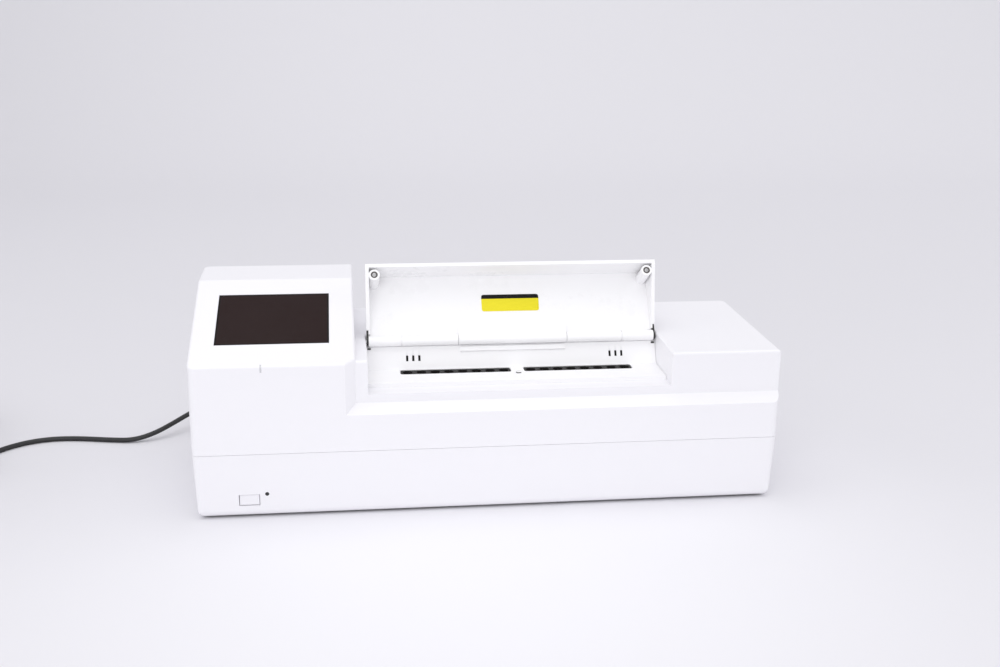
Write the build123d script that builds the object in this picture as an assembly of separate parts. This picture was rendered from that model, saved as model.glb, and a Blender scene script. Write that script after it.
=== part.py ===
from build123d import *
import math
import os

# Bench-top molecular diagnostic analyzer, in millimetres.
# The origin is on the table, under the middle of the housing.
# X runs to the right, Y to the back and Z up. The lid is modelled open, as it stands in use.

# Housing
body_width = 374.0
body_depth = 129.5
foot_height = 1.2
seam_height = 43.7
seam_gap = 0.2
wall = 2.5
plan_radius = 4.5
base_taper = 2.4
base_edge_radius = 5.0
top_edge_radius = 1.6
rim_bevel = 0.6

# Screen tower at the left end
tower_width = 101.5
tower_front_height = 101.0
tower_top_height = 133.0
tower_roof_depth = 40.5
tower_corner_width = 6.5
display_wall_gap = 1.0

# Sloped ledge along the front, and the upper face that stands behind it
ledge_low_height = 67.5
ledge_high_height = 73.6
front_setback = 6.0
deck_top_height = 101.0

# Recess under the lid
margin_width = 7.6
recess_width = 193.6
landing_height = 78.9
floor_thickness = 2.5
floor_front_offset = 18.5
floor_back_offset = 46.0
deck_wall = 2.0
deck_fit_gap = 0.15
slit_offset = 67.7
slit_pitch = 4.0
slit_width = 1.5
slit_start = 5.4
slit_length = 3.9
slit_tail_length = 3.4
slit_tail_depth = 0.8
slit_tail_width = 0.8
slit_count = 3
window_margin = 4.0

# Lid and hinge
lid_side_gap = 0.5
lid_front_gap = 0.3
lid_reach = 46.9
lid_thickness = 2.3
lid_skirt_thickness = 2.3
lid_landing_gap = 0.4
lid_lean_angle = 33.0
lid_edge_radius = 1.0
hinge_height = 98.8
barrel_radius = 3.5
trough_gap = 0.4
hinge_pin_radius = 1.25
hinge_pin_reach = 9.0
running_clearance = 0.05
arm_thickness = 1.3
arm_length = 7.0
arm_eye_radius = 2.6
hinge_cover_width = 72.0
hinge_cover_reach = 8.9
hinge_cover_drop = 2.3
hinge_cover_gap = 0.3
barrel_groove_offset = 73.4
barrel_groove_width = 1.0
barrel_groove_depth = 0.8
lid_boss_radius = 3.6
lid_boss_side_inset = 5.8
lid_boss_front_inset = 7.0
lid_boss_lift = 1.2
magnet_radius = 2.3
magnet_thickness = 2.0
label_width = 38.6
label_height = 11.6
label_thickness = 0.2
label_reach = 25.2
catch_plate_side = 9.0
catch_plate_thickness = 1.0

# Tube wells and their heated blocks
well_count = 8
well_pitch = 9.0
well_top_radius = 3.2
well_tip_radius = 1.5
well_depth = 16.4
read_hole_radius = 1.0
read_hole_rise = 3.0
slot_width = 9.4
slot_corner_radius = 1.8
slot_end_margin = 4.75
slot_gap = 8.5
slot_centre_offset = 40.5
block_width = 14.0
block_height = 20.0
block_end_margin = 6.0
block_air_gap = 0.3
ridge_gap = 0.3
ridge_drop = 0.4
deck_screw_lead = 2.0
bank_side_shift = 1.6
heater_thickness = 0.5
heater_margin = 3.0
pad_thickness = 1.0
carrier_wall = 3.0
carrier_floor_thickness = 5.0
carrier_rim = 9.0
carrier_foot_width = 12.0
carrier_foot_depth = 9.0
sensor_length = 4.0
sensor_width = 3.0
sensor_thickness = 1.5

# Touch screen
screen_width = 70.4
screen_height = 54.3
screen_low_distance = 22.5
screen_centre_offset = 50.3
screen_gap = 0.2
screen_recess = 0.1
gasket_thickness = 0.5
gasket_rim = 1.5
module_width = 76.9
module_height = 63.9
module_thickness = 3.4
circuit_thickness = 1.6
display_post_radius = 2.6
display_post_depth = 10.0
display_post_side_gap = 4.5
display_post_end_inset = 8.0
bracket_thickness = 1.2
strap_reach = 7.0
strap_end = 1.0
strap_pad_width = 4.0
ribbon_port_drop = 12.0
ribbon_port_height = 7.0
ribbon_step_back = 7.0

# Button and lamps at the front
button_width = 12.3
button_height = 6.9
button_centre_offset = 34.0
button_centre_height = 12.7
button_gap = 0.35
button_recess = 0.4
button_edge_radius = 0.5
button_travel = 0.8
button_flange = 1.0
button_stem_radius = 1.6
button_stem_length = 3.6
switch_gap = 0.1
lamp_offset = 45.0
lamp_height = 16.6
lamp_radius = 1.3
light_bar_offset = 44.2
light_bar_width = 1.1
light_bar_height = 4.0
light_bar_depth = 4.5
light_bar_rise = 0.6

# Optics that scan along the wells
rail_set_back = 22.0
rail_width = 5.0
rail_height = 7.0
rail_base_height = 48.5
rail_groove_radius = 1.0
beam_thickness = 3.0
beam_width = 12.0
beam_leg_width = 10.0
carriage_length = 28.0
carriage_wall = 2.0
carriage_half_width = 5.5
home_distance = 12.0
pulley_clearance = 8.0
pulley_radius = 6.4
pulley_width = 7.0
pulley_teeth = 20
pulley_flange = 1.0
belt_thickness = 1.4
belt_width = 6.0
belt_slack = 0.3
belt_set_back = 6.5
jaw_gap = 0.4
jaw_width = 16.0
shaft_radius = 2.5
lens_radius = 4.0
lens_bore_radius = 3.2
lens_gap = 1.0
motor_side = 28.0
motor_plate_gap = 5.0
motor_fan_gap = 2.0
motor_wire_gap = 3.0
motor_plug_length = 8.0
motor_plug_width = 14.0
motor_plug_height = 5.0
motor_bore_depth = 8.0
bracket_foot_gap = 3.5
idler_plate_width = 16.0
idler_foot_length = 12.0
motor_boss_radius = 11.0
plate_thickness = 2.0

# Electronics
board_height = 12.0
board_inset = 8.0
board_width = 70.0
board_front_inset = 32.75
board_back_inset = 28.75
standoff_radius = 2.8
screw_radius = 1.5
ribbon_width = 12.0
ribbon_thickness = 0.4
ribbon_shift = 14.0
ribbon_drop = 18.0
ribbon_rise = 22.0
port_depth = 11.0
connector_height = 5.0
connector_width = 16.0
connector_depth = 6.0
board_socket_height = 7.0
capacitor_radius = 3.6
capacitor_height = 10.0
capacitor_pitch = 10.0
capacitor_shift = 4.0
capacitor_side_inset = 8.0

processor_from_left = 20.0
processor_from_back = 32.0
processor_width = 18.0
processor_depth = 12.0
processor_height = 2.0
driver_from_left = 22.0
driver_from_back = 18.0
driver_width = 12.0
driver_depth = 8.0
driver_height = 1.4
inductor_from_left = 50.0
inductor_from_back = 12.0
inductor_width = 14.0
inductor_depth = 22.0
inductor_height = 9.0
board_socket_from_left = 22.0
board_socket_from_back = 2.0
board_socket_width = 24.0
board_socket_depth = 7.0
wire_radius = 1.1

# Fan at the back
fan_side = 40.0
fan_thickness = 10.0
fan_inset = 42.0
fan_height = 70.0
fan_hole_spacing = 32.0
fan_hub_radius = 11.0
fan_rim = 1.5
fan_tip_gap = 1.0
fan_blade_count = 7
grille_slot_width = 2.6
grille_slot_pitch = 5.2
intake_count = 8
intake_pitch = 7.0
intake_width = 2.6
intake_length = 24.0
intake_inset = 16.0

# Housing screws and feet
screw_inset = 9.5
screw_front_shift = 2.5
middle_screw_offset = 47.0
screw_post_radius = 3.6
screw_pilot_radius = 1.35
screw_head_radius = 2.7
screw_head_height = 2.6
screw_head_depth = 3.6
screw_length = 10.0
post_foot_height = 12.0
foot_radius = 7.0
foot_recess = 1.0
foot_inset = 24.0
lip_height = 3.0
lip_thickness = 1.1

# Power lead and the plug-in supply at its far end
socket_offset = 45.0
socket_height = 30.0
socket_radius = 5.4
socket_bore_radius = 2.9
socket_pin_radius = 1.0
socket_depth = 12.0
plug_radius = 4.5
plug_length = 22.0
plug_relief_length = 14.0
plug_relief_radius = 3.3
lead_radius = 1.75
coil_centre_x = -371.1
coil_centre_y = 25.5
coil_outer_radius = 25.5
coil_step = 2.4
coil_half_turns_in_layer = 4
coil_layers = 4
coil_layer_height = 4.3
supply_length = 75.0
supply_width = 45.0
supply_height = 28.7
supply_edge_radius = 4.0
supply_relief_length = 27.0
supply_relief_radius = 3.5
supply_seam_width = 0.6
supply_seam_depth = 0.5
supply_panel_width = 28.0
supply_panel_length = 46.0
supply_panel_depth = 0.3
supply_panel_radius = 2.0
blade_length = 17.0
blade_height = 6.3
blade_thickness = 1.5
blade_spacing = 12.7
blade_hole_radius = 1.6
blade_hole_inset = 4.0

lead_points = [
    (-147.0, 122.2, 28.5),
    (-158.5, 128.6, 25.4),
    (-174.5, 126.4, 21.0),
    (-191.5, 114.4, 16.6),
    (-207.9, 98.4, 12.2),
    (-220.3, 86.2, 8.4),
    (-231.5, 78.1, 4.9),
    (-245.5, 74.0, 2.1),
    (-260.5, 76.6, 1.75),
    (-284.0, 81.9, 1.75),
    (-302.0, 82.9, 1.75),
    (-316.8, 78.9, 1.75),
    (-328.2, 71.4, 1.75),
    (-337.3, 61.8, 1.75),
    (-343.0, 50.8, 1.75),
    (-345.6, 39.6, 1.75),
]

# Places that follow from the sizes above
x_left = -body_width / 2
x_right = body_width / 2
y_front = -body_depth / 2
y_back = body_depth / 2
tower_need = 2 * (
    module_width / 2 + display_post_side_gap + display_post_radius + strap_end + display_wall_gap + wall
)
tower_span = max(tower_width, tower_need)
tower_right = x_left + tower_span
ridge_y = y_back - tower_roof_depth
slope = math.atan2(tower_top_height - tower_front_height, ridge_y - y_front)
face_y = y_front + front_setback
recess_left = tower_right + margin_width
recess_right = recess_left + recess_width
recess_centre = (recess_left + recess_right) / 2
bank_centre = recess_centre + bank_side_shift
floor_height = landing_height + floor_thickness
floor_front_y = y_front + floor_front_offset
floor_back_y = y_front + floor_back_offset
lid_front_y = face_y + lid_front_gap
lid_left = recess_left + lid_side_gap
lid_right = recess_right - lid_side_gap
hinge_y = lid_front_y + lid_reach
lid_top = hinge_height + barrel_radius
lid_under = lid_top - lid_thickness
skirt_bottom = landing_height + lid_landing_gap
boss_y = lid_front_y + lid_boss_front_inset
lean = math.radians(lid_lean_angle)
trough_radius = barrel_radius + trough_gap
wall_top_height = hinge_height - trough_radius
relief_y = hinge_y + trough_radius * math.cos(lean)
relief_z = hinge_height - trough_radius * math.sin(lean)
relief_top_y = relief_y + (deck_top_height - relief_z) * math.tan(lean)
pocket_back_y = relief_top_y + deck_wall / math.cos(lean) + deck_fit_gap
slot_length = (well_count - 1) * well_pitch + 2 * slot_end_margin
bank_shift = (slot_length + slot_gap) / 2
slot_centre_y = y_front + slot_centre_offset
block_length = (well_count - 1) * well_pitch + 2 * block_end_margin
block_top = landing_height - block_air_gap
block_bottom = block_top - block_height
block_front_y = slot_centre_y - block_width / 2
block_back_y = slot_centre_y + block_width / 2
well_top = floor_height - ridge_drop
read_height = well_top - well_depth + read_hole_rise
deck_screw_y = slot_centre_y - slot_width / 2 - deck_screw_lead
tray_floor = foot_height + wall
tray_top = seam_height - seam_gap / 2
cover_bottom = seam_height + seam_gap / 2

screw_spots = [
    (x_left + screw_inset, y_back - screw_inset),
    (x_left + screw_inset, y_front + screw_inset + screw_front_shift),
    (-middle_screw_offset, y_back - screw_inset),
    (middle_screw_offset, y_back - screw_inset),
    (x_right - screw_inset, y_back - screw_inset),
    (x_right - screw_inset, y_front + screw_inset + screw_front_shift),
]
foot_spots = [
    (side * (body_width / 2 - foot_inset), end * (body_depth / 2 - foot_inset))
    for side in (-1, 1)
    for end in (-1, 1)
]


# Basic shapes

def block(x0, x1, y0, y1, z0, z1):
    middle = Pos((x0 + x1) / 2, (y0 + y1) / 2, (z0 + z1) / 2)
    return middle * Box(x1 - x0, y1 - y0, z1 - z0)


def rod_x(x0, x1, y, z, radius):
    return Pos((x0 + x1) / 2, y, z) * Rot(0, 90, 0) * Cylinder(radius, x1 - x0)


def rod_y(x, y0, y1, z, radius):
    return Pos(x, (y0 + y1) / 2, z) * Rot(90, 0, 0) * Cylinder(radius, y1 - y0)


def rod_z(x, y, z0, z1, radius):
    return Pos(x, y, (z0 + z1) / 2) * Cylinder(radius, z1 - z0)


def side_prism(outline, x0, x1):
    face = make_face(Polyline([(x0, y, z) for y, z in outline], close=True))
    return extrude(face, amount=x1 - x0, dir=(1, 0, 0))


def plan_prism(outline, z0, z1):
    face = make_face(Polyline([(x, y, z0) for x, y in outline], close=True))
    return extrude(face, amount=z1 - z0, dir=(0, 0, 1))


def plan_face(inset, height):
    radius = max(plan_radius - inset, 0.8)
    return Pos(0, 0, height) * RectangleRounded(body_width - 2 * inset, body_depth - 2 * inset, radius)


def union(shapes):
    total = shapes[0]
    for shape in shapes[1:]:
        total = total + shape
    return total


def group(shapes):
    return Compound(children=list(shapes))


def inset_outline(points, distance):
    """Move every side of a closed outline inward, and return the new corners."""
    count = len(points)
    area = 0.0
    for i in range(count):
        (ax, ay), (bx, by) = points[i], points[(i + 1) % count]
        area += ax * by - bx * ay
    turn = 1.0 if area > 0 else -1.0
    sides = []
    for i in range(count):
        (ax, ay), (bx, by) = points[i], points[(i + 1) % count]
        length = math.hypot(bx - ax, by - ay)
        dx, dy = (bx - ax) / length, (by - ay) / length
        sides.append((ax - turn * dy * distance, ay + turn * dx * distance, dx, dy))
    corners = []
    for i in range(count):
        px, py, pdx, pdy = sides[i - 1]
        qx, qy, qdx, qdy = sides[i]
        cross = pdx * qdy - pdy * qdx
        along = ((qx - px) * qdy - (qy - py) * qdx) / cross
        corners.append((px + along * pdx, py + along * pdy))
    return corners


def slope_plane(along_x, along_slope):
    """A plane on the tower's sloped face, with its Y up the slope and its Z outward."""
    origin = (
        x_left + along_x,
        y_front + along_slope * math.cos(slope),
        tower_front_height + along_slope * math.sin(slope),
    )
    return Plane(origin=origin, x_dir=(1, 0, 0), z_dir=(0, -math.sin(slope), math.cos(slope)))


screen_middle = screen_centre_offset + (tower_span - tower_width) / 2
screen_plane = slope_plane(screen_middle, screen_low_distance + screen_height / 2)


def screen_slab(width, height, low, high):
    """A flat piece parallel to the screen, between two depths under the sloped face."""
    return screen_plane * Pos(0, 0, -(low + high) / 2) * Box(width, height, high - low)


# Upper cover

def tower_volume(inset, bottom):
    profile = [
        (y_front, bottom),
        (y_back, bottom),
        (y_back, tower_top_height),
        (ridge_y, tower_top_height),
        (y_front, tower_front_height),
    ]
    plan = [
        (x_left, y_front),
        (tower_right - tower_corner_width, y_front),
        (tower_right, face_y),
        (tower_right, y_back),
        (x_left, y_back),
    ]
    body = side_prism(inset_outline(profile, inset), x_left + inset, tower_right - inset)
    return body & plan_prism(inset_outline(plan, inset), bottom, tower_top_height)


def lower_volume(inset, bottom):
    profile = [
        (y_front, bottom),
        (y_back, bottom),
        (y_back, ledge_high_height),
        (face_y, ledge_high_height),
        (y_front, ledge_low_height),
    ]
    return side_prism(inset_outline(profile, inset), x_left + inset, x_right - inset)


def upper_volume(inset, bottom):
    inner_left = tower_right - 4 * wall
    return block(
        inner_left, x_right - inset, face_y + inset, y_back - inset, bottom, deck_top_height - inset
    )


def rounded_top(shape):
    """Round the edges of every face that looks upward."""
    rims = []
    for face in shape.faces():
        if face.normal_at().Z > 0.5:
            rims.extend(face.edges())
    unique = []
    for edge in rims:
        if not any((edge.center() - other.center()).length < 0.001 for other in unique):
            unique.append(edge)
    return fillet(unique, top_edge_radius)


def cover_outside():
    plan = extrude(plan_face(0, 0), amount=tower_top_height + 1)
    tower = rounded_top(tower_volume(0, cover_bottom) & plan)
    upper = rounded_top(upper_volume(0, cover_bottom) & plan)
    lower = lower_volume(0, cover_bottom) & plan
    return tower + upper + lower


def cover_inside():
    below = seam_height - 20
    return tower_volume(wall, below) + lower_volume(wall, below) + upper_volume(wall, below)


def pocket(grow):
    return block(
        recess_left - grow,
        recess_right + grow,
        y_front - 10,
        pocket_back_y + grow,
        landing_height - grow,
        tower_top_height + 30,
    )


def block_windows():
    """Openings in the recess floor that the heated blocks stand in, with a bridge between them."""
    windows = []
    bridge = (2 * bank_shift - block_length) / 2 - block_air_gap
    for side in (-1, 1):
        near = bank_centre + side * bridge
        far = bank_centre + side * (bank_shift + block_length / 2 + window_margin)
        windows.append(
            block(
                min(near, far),
                max(near, far),
                block_front_y - window_margin,
                block_back_y + 1.0,
                landing_height - wall - 1,
                landing_height + 1,
            )
        )
    return union(windows)


def recess_rim():
    """Small bevels along the two top side edges of the recess."""
    bevels = []
    for x, side in ((recess_left, -1), (recess_right, 1)):
        outline = [
            (x - side * 0.5, deck_top_height - rim_bevel - 0.5),
            (x, deck_top_height - rim_bevel),
            (x + side * rim_bevel, deck_top_height),
            (x + side * rim_bevel, deck_top_height + 1),
            (x - side * 0.5, deck_top_height + 1),
        ]
        face = make_face(Polyline([(px, y_front - 1, pz) for px, pz in outline], close=True))
        bevels.append(extrude(face, amount=pocket_back_y - y_front + 1, dir=(0, 1, 0)))
    return union(bevels)


def light_bar_block(shrink):
    x = x_left + light_bar_offset
    half = light_bar_width / 2 - shrink
    return block(
        x - half,
        x + half,
        y_front - 1,
        y_front + light_bar_depth - shrink,
        tower_front_height - light_bar_height + shrink,
        tower_front_height + light_bar_rise - shrink,
    )


def display_post_spots():
    half_x = module_width / 2 + display_post_side_gap
    half_y = module_height / 2 - display_post_end_inset
    return [(sx * half_x, sy * half_y) for sx in (-1, 1) for sy in (-1, 1)]


def display_posts():
    posts = []
    for x, y in display_post_spots():
        length = display_post_depth - wall / 2
        post = Pos(x, y, -wall / 2 - length / 2) * Cylinder(display_post_radius, length)
        pilot = Pos(x, y, -display_post_depth) * Cylinder(0.95, 2 * (display_post_depth - wall - 1))
        posts.append(screen_plane * (post - pilot))
    return posts


def fan_hole_spots():
    half = fan_hole_spacing / 2
    return [
        (x_right - fan_inset + sx * half, fan_height + sz * half) for sx in (-1, 1) for sz in (-1, 1)
    ]


def fan_grille():
    """Upright slots in the rear wall behind the fan."""
    slots = []
    reach = fan_side / 2 - fan_rim - 1.0
    count = int(reach / grille_slot_pitch)
    for index in range(-count, count + 1):
        x = index * grille_slot_pitch
        half = math.sqrt(reach**2 - x**2)
        middle = x_right - fan_inset + x
        slots.append(
            block(
                middle - grille_slot_width / 2,
                middle + grille_slot_width / 2,
                y_back - 2 * wall,
                y_back + 1,
                fan_height - half,
                fan_height + half,
            )
        )
    return union(slots)


def column_room(outside):
    """The cover's outer volume, with a plain column below it down to the tray posts."""
    return outside + block(x_left + wall, x_right - wall, y_front + wall, y_back - wall, 0, cover_bottom + 1)


def upper_cover(outside):
    shell = outside - (cover_inside() - pocket(wall)) - pocket(0)
    shell = shell - block_windows() - recess_rim()
    room = column_room(outside)
    for x, y in screw_spots:
        shell = shell + (rod_z(x, y, post_foot_height, tower_top_height, screw_post_radius) & room)
        shell = shell - rod_z(
            x, y, post_foot_height - 1, post_foot_height + screw_length + 2, screw_pilot_radius
        )
    hole_width = screen_width + 2 * screen_gap
    hole_height = screen_height + 2 * screen_gap
    shell = shell - screen_slab(hole_width, hole_height, -wall, 2 * wall)
    for post in display_posts():
        shell = shell + post
    shell = shell - light_bar_block(0) - fan_grille()
    for x, z in fan_hole_spots():
        shell = shell - rod_y(x, y_back - 2 * wall, y_back - 0.5, z, screw_radius)
    pin_hole = rod_x(recess_left - wall, recess_right + wall, hinge_y, hinge_height, hinge_pin_radius)
    bridge_hole = rod_z(bank_centre, deck_screw_y, landing_height - wall - 1, landing_height + 1, 1.2)
    return shell - pin_hole - bridge_hole


# Base tray

def tray_solid(inset, top, bottom):
    height = top - bottom
    return extrude(plan_face(inset, top), amount=height, dir=(0, 0, -1), taper=base_taper)


def tray_inset(height):
    """How far the tapered tray wall stands in from the housing's outline at a height."""
    return (tray_top - height) * math.tan(math.radians(base_taper))


def tray_lip():
    low = tray_top - 4
    root = extrude(plan_face(wall - 0.3, low), amount=tray_top - low)
    upper = extrude(plan_face(wall + 0.2, tray_top - 0.5), amount=lip_height + 0.5)
    room = extrude(plan_face(wall + 0.2 + lip_thickness, low - 1), amount=lip_height + 6)
    return (root + upper) - room


def base_tray():
    outer = tray_solid(0, tray_top, foot_height)
    bottom_edges = [e for e in outer.edges() if abs(e.center().Z - foot_height) < 0.01]
    outer = fillet(bottom_edges, base_edge_radius)
    tray = outer - tray_solid(wall, tray_top + 1, tray_floor) + tray_lip()
    for x, y in screw_spots:
        tray = tray + rod_z(x, y, tray_floor - 1, post_foot_height, screw_post_radius)
        tray = tray - rod_z(x, y, foot_height - 1, post_foot_height + 1, screw_pilot_radius + 0.2)
        tray = tray - rod_z(
            x, y, foot_height - 1, foot_height + screw_head_depth, screw_head_radius + 0.2
        )
    for x, y in foot_spots:
        tray = tray - rod_z(x, y, foot_height - 1, foot_height + foot_recess, foot_radius)
    button_x = x_left + button_centre_offset
    half_x = button_width / 2 + button_gap
    half_z = button_height / 2 + button_gap
    tray = tray - block(
        button_x - half_x,
        button_x + half_x,
        y_front - 1,
        y_front + 3 * wall,
        button_centre_height - half_z,
        button_centre_height + half_z,
    )
    tray = tray - rod_y(x_left + lamp_offset, y_front - 1, y_front + 3 * wall, lamp_height, lamp_radius)
    tray = tray - rod_y(
        x_left + socket_offset, y_back - 3 * wall, y_back + 1, socket_height, socket_radius
    )
    return tray - intake_slots()


def intake_slots():
    slots = []
    for index in range(intake_count):
        x = recess_centre + (index - (intake_count - 1) / 2) * intake_pitch
        slots.append(
            block(
                x - intake_width / 2,
                x + intake_width / 2,
                y_back - intake_inset - intake_length,
                y_back - intake_inset,
                foot_height - 1,
                tray_floor + 1,
            )
        )
    return union(slots)


def cover_screws():
    screws = []
    for x, y in screw_spots:
        head_top = foot_height + screw_head_depth
        head = rod_z(x, y, head_top - screw_head_height, head_top, screw_head_radius)
        head = head - Pos(x, y, head_top - screw_head_height) * Box(3.4, 0.7, 1.6)
        shank = rod_z(x, y, head_top, post_foot_height + screw_length, screw_pilot_radius)
        screws.append(head + shank)
    return group(screws)


def rubber_feet():
    feet = []
    for x, y in foot_spots:
        foot = rod_z(x, y, 0, foot_height + foot_recess, foot_radius)
        feet.append(fillet(foot.edges().sort_by(Axis.Z)[0], 0.8))
    return group(feet)


# Deck in the recess

wall_run = hinge_y - floor_back_y
wall_rise = wall_top_height - floor_height
wall_length = math.hypot(wall_run, wall_rise)
wall_up = (wall_run / wall_length, wall_rise / wall_length)
wall_in = (wall_up[1], -wall_up[0])


def on_wall(distance, depth):
    """A point of the leaning wall, by distance up the wall and depth behind its face."""
    return (
        floor_back_y + distance * wall_up[0] + depth * wall_in[0],
        floor_height + distance * wall_up[1] + depth * wall_in[1],
    )


def well_deck():
    x0 = recess_left + deck_fit_gap
    x1 = recess_right - deck_fit_gap
    outline = [
        (floor_front_y, landing_height),
        (floor_back_y + floor_thickness * wall_in[0], landing_height),
        on_wall(wall_length, deck_wall),
        on_wall(wall_length, 0),
        (floor_back_y, floor_height),
        (floor_front_y, floor_height),
    ]
    deck = side_prism(outline, x0, x1)
    ring = rod_x(x0, x1, hinge_y, hinge_height, trough_radius + deck_wall)
    ring = ring - rod_x(x0 - 1, x1 + 1, hinge_y, hinge_height, trough_radius)
    far = 4 * trough_radius
    sector = [
        (hinge_y, hinge_height),
        (hinge_y, hinge_height - far),
        (hinge_y + far, hinge_height - far),
        (hinge_y + far * math.cos(lean), hinge_height - far * math.sin(lean)),
    ]
    relief = [
        (relief_y, relief_z),
        (relief_top_y, deck_top_height),
        (relief_top_y + deck_wall / math.cos(lean), deck_top_height),
        (relief_y + deck_wall * math.cos(lean), relief_z - deck_wall * math.sin(lean)),
    ]
    deck = deck + (ring & side_prism(sector, x0, x1)) + side_prism(relief, x0, x1)
    lip_half = hinge_cover_width / 2 - 1
    lip = [
        on_wall(wall_length - 4.6, 0.5),
        on_wall(wall_length - 4.1, -1.4),
        on_wall(wall_length - 1.2, -1.4),
        on_wall(wall_length - 0.4, 0.5),
    ]
    deck = deck + side_prism(lip, recess_centre - lip_half, recess_centre + lip_half)
    for side in (-1, 1):
        x = bank_centre + side * bank_shift
        outline = RectangleRounded(slot_length, slot_width, slot_corner_radius)
        sketch = Pos(x, slot_centre_y, landing_height - 1) * outline
        deck = deck - extrude(sketch, amount=floor_thickness + 2)
        for index in range(slit_count):
            slit_x = bank_centre + side * slit_offset + (index - (slit_count - 1) / 2) * slit_pitch
            deck = deck - wall_slit(slit_x) - slit_tail(slit_x)
    return deck - rod_z(bank_centre, deck_screw_y, landing_height - 1, floor_height + 1, 1.3)


def wall_slit(x):
    outline = [
        on_wall(slit_start, -1),
        on_wall(slit_start + slit_length, -1),
        on_wall(slit_start + slit_length, deck_wall + 1),
        on_wall(slit_start, deck_wall + 1),
    ]
    return side_prism(outline, x - slit_width / 2, x + slit_width / 2)


def slit_tail(x):
    """A shallow groove above a slit, which fades out up the wall."""
    start = slit_start + slit_length - 0.1
    end = start + slit_tail_length
    outline = [on_wall(start, -1), on_wall(start, slit_tail_depth), on_wall(end, 0), on_wall(end, -1)]
    return side_prism(outline, x - slit_tail_width / 2, x + slit_tail_width / 2)


def deck_screw():
    head = rod_z(bank_centre, deck_screw_y, floor_height, floor_height + 1.1, 2.0)
    head = head - Pos(bank_centre, deck_screw_y, floor_height + 1.1) * Box(2.8, 0.6, 1.0)
    return head + rod_z(bank_centre, deck_screw_y, landing_height - wall - 2, floor_height, 1.2)


def catch_plates():
    plates = []
    half = catch_plate_side / 2
    top = landing_height - wall
    for x in (lid_left + lid_boss_side_inset, lid_right - lid_boss_side_inset):
        plates.append(
            block(x - half, x + half, boss_y - half, boss_y + half, top - catch_plate_thickness, top)
        )
    return group(plates)


# Lid, drawn closed and then turned open about its hinge line

def opened(shape):
    turned = Pos(0, hinge_y, hinge_height) * Rot(-90 - lid_lean_angle, 0, 0)
    return turned * Pos(0, -hinge_y, -hinge_height) * shape


def hinge_cover_room():
    half = hinge_cover_width / 2 + hinge_cover_gap
    return block(
        recess_centre - half,
        recess_centre + half,
        hinge_y - hinge_cover_reach - hinge_cover_gap,
        hinge_y + 2 * barrel_radius,
        hinge_height - 2 * barrel_radius,
        lid_under,
    )


def barrel_groove(x):
    half = barrel_groove_width / 2
    ring = rod_x(x - half, x + half, hinge_y, hinge_height, 2 * barrel_radius)
    ring = ring - rod_x(x - 1, x + 1, hinge_y, hinge_height, barrel_radius - barrel_groove_depth)
    below = block(x - 1, x + 1, hinge_y - 9, hinge_y + 9, hinge_height - 9, lid_under)
    return ring & below


def lid_shell():
    panel = block(lid_left, lid_right, lid_front_y, hinge_y, lid_under, lid_top)
    rims = [e for e in panel.faces().sort_by(Axis.Z)[-1].edges() if e.center().Y < hinge_y - 1]
    shell = fillet(rims, lid_edge_radius)
    shell = shell + block(
        lid_left, lid_right, lid_front_y, lid_front_y + lid_skirt_thickness, skirt_bottom, lid_under
    )
    side_outline = [
        (lid_front_y, lid_under),
        (lid_front_y, skirt_bottom),
        (lid_front_y + lid_skirt_thickness + 1, skirt_bottom),
        (hinge_y - barrel_radius - 1, hinge_height - 2),
        (hinge_y - barrel_radius - 1, lid_under),
    ]
    shell = shell + side_prism(side_outline, lid_left, lid_left + lid_skirt_thickness)
    shell = shell + side_prism(side_outline, lid_right - lid_skirt_thickness, lid_right)
    for x in (lid_left + lid_boss_side_inset, lid_right - lid_boss_side_inset):
        boss = rod_z(x, boss_y, skirt_bottom + lid_boss_lift, lid_under + 0.5, lid_boss_radius)
        seat = rod_z(
            x, boss_y, skirt_bottom, skirt_bottom + lid_boss_lift + magnet_thickness, magnet_radius
        )
        shell = shell + boss - seat
    shell = shell + rod_x(lid_left, lid_right, hinge_y, hinge_height, barrel_radius)
    shell = shell - hinge_cover_room()
    for side, end in ((-1, lid_left), (1, lid_right)):
        arm_end = end - side * arm_thickness
        room = block(
            min(arm_end, end + side),
            max(arm_end, end + side),
            hinge_y - arm_length,
            hinge_y + 2 * barrel_radius,
            hinge_height - 3 * barrel_radius,
            lid_top + 1,
        )
        shell = shell - room - barrel_groove(recess_centre + side * barrel_groove_offset)
        bore_end = arm_end - side * (hinge_pin_reach + 1)
        shell = shell - rod_x(
            min(bore_end, end + side),
            max(bore_end, end + side),
            hinge_y,
            hinge_height,
            hinge_pin_radius + running_clearance,
        )
    return shell


def lid_hinge_cover():
    half = hinge_cover_width / 2
    plate = block(
        recess_centre - half,
        recess_centre + half,
        hinge_y - hinge_cover_reach,
        hinge_y,
        hinge_height - hinge_cover_drop,
        lid_under,
    )
    nose = rod_x(recess_centre - half, recess_centre + half, hinge_y, hinge_height, barrel_radius)
    below = block(
        recess_centre - half,
        recess_centre + half,
        hinge_y - 2 * barrel_radius,
        hinge_y + 2 * barrel_radius,
        hinge_height - 2 * barrel_radius,
        lid_under,
    )
    return plate + (nose & below)


def lid_label():
    y = hinge_y - label_reach
    return block(
        recess_centre - label_width / 2,
        recess_centre + label_width / 2,
        y - label_height / 2,
        y + label_height / 2,
        lid_under - label_thickness,
        lid_under,
    )


def lid_magnets():
    low = skirt_bottom + lid_boss_lift
    spots = (lid_left + lid_boss_side_inset, lid_right - lid_boss_side_inset)
    return group(rod_z(x, boss_y, low, low + magnet_thickness, magnet_radius) for x in spots)


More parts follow.
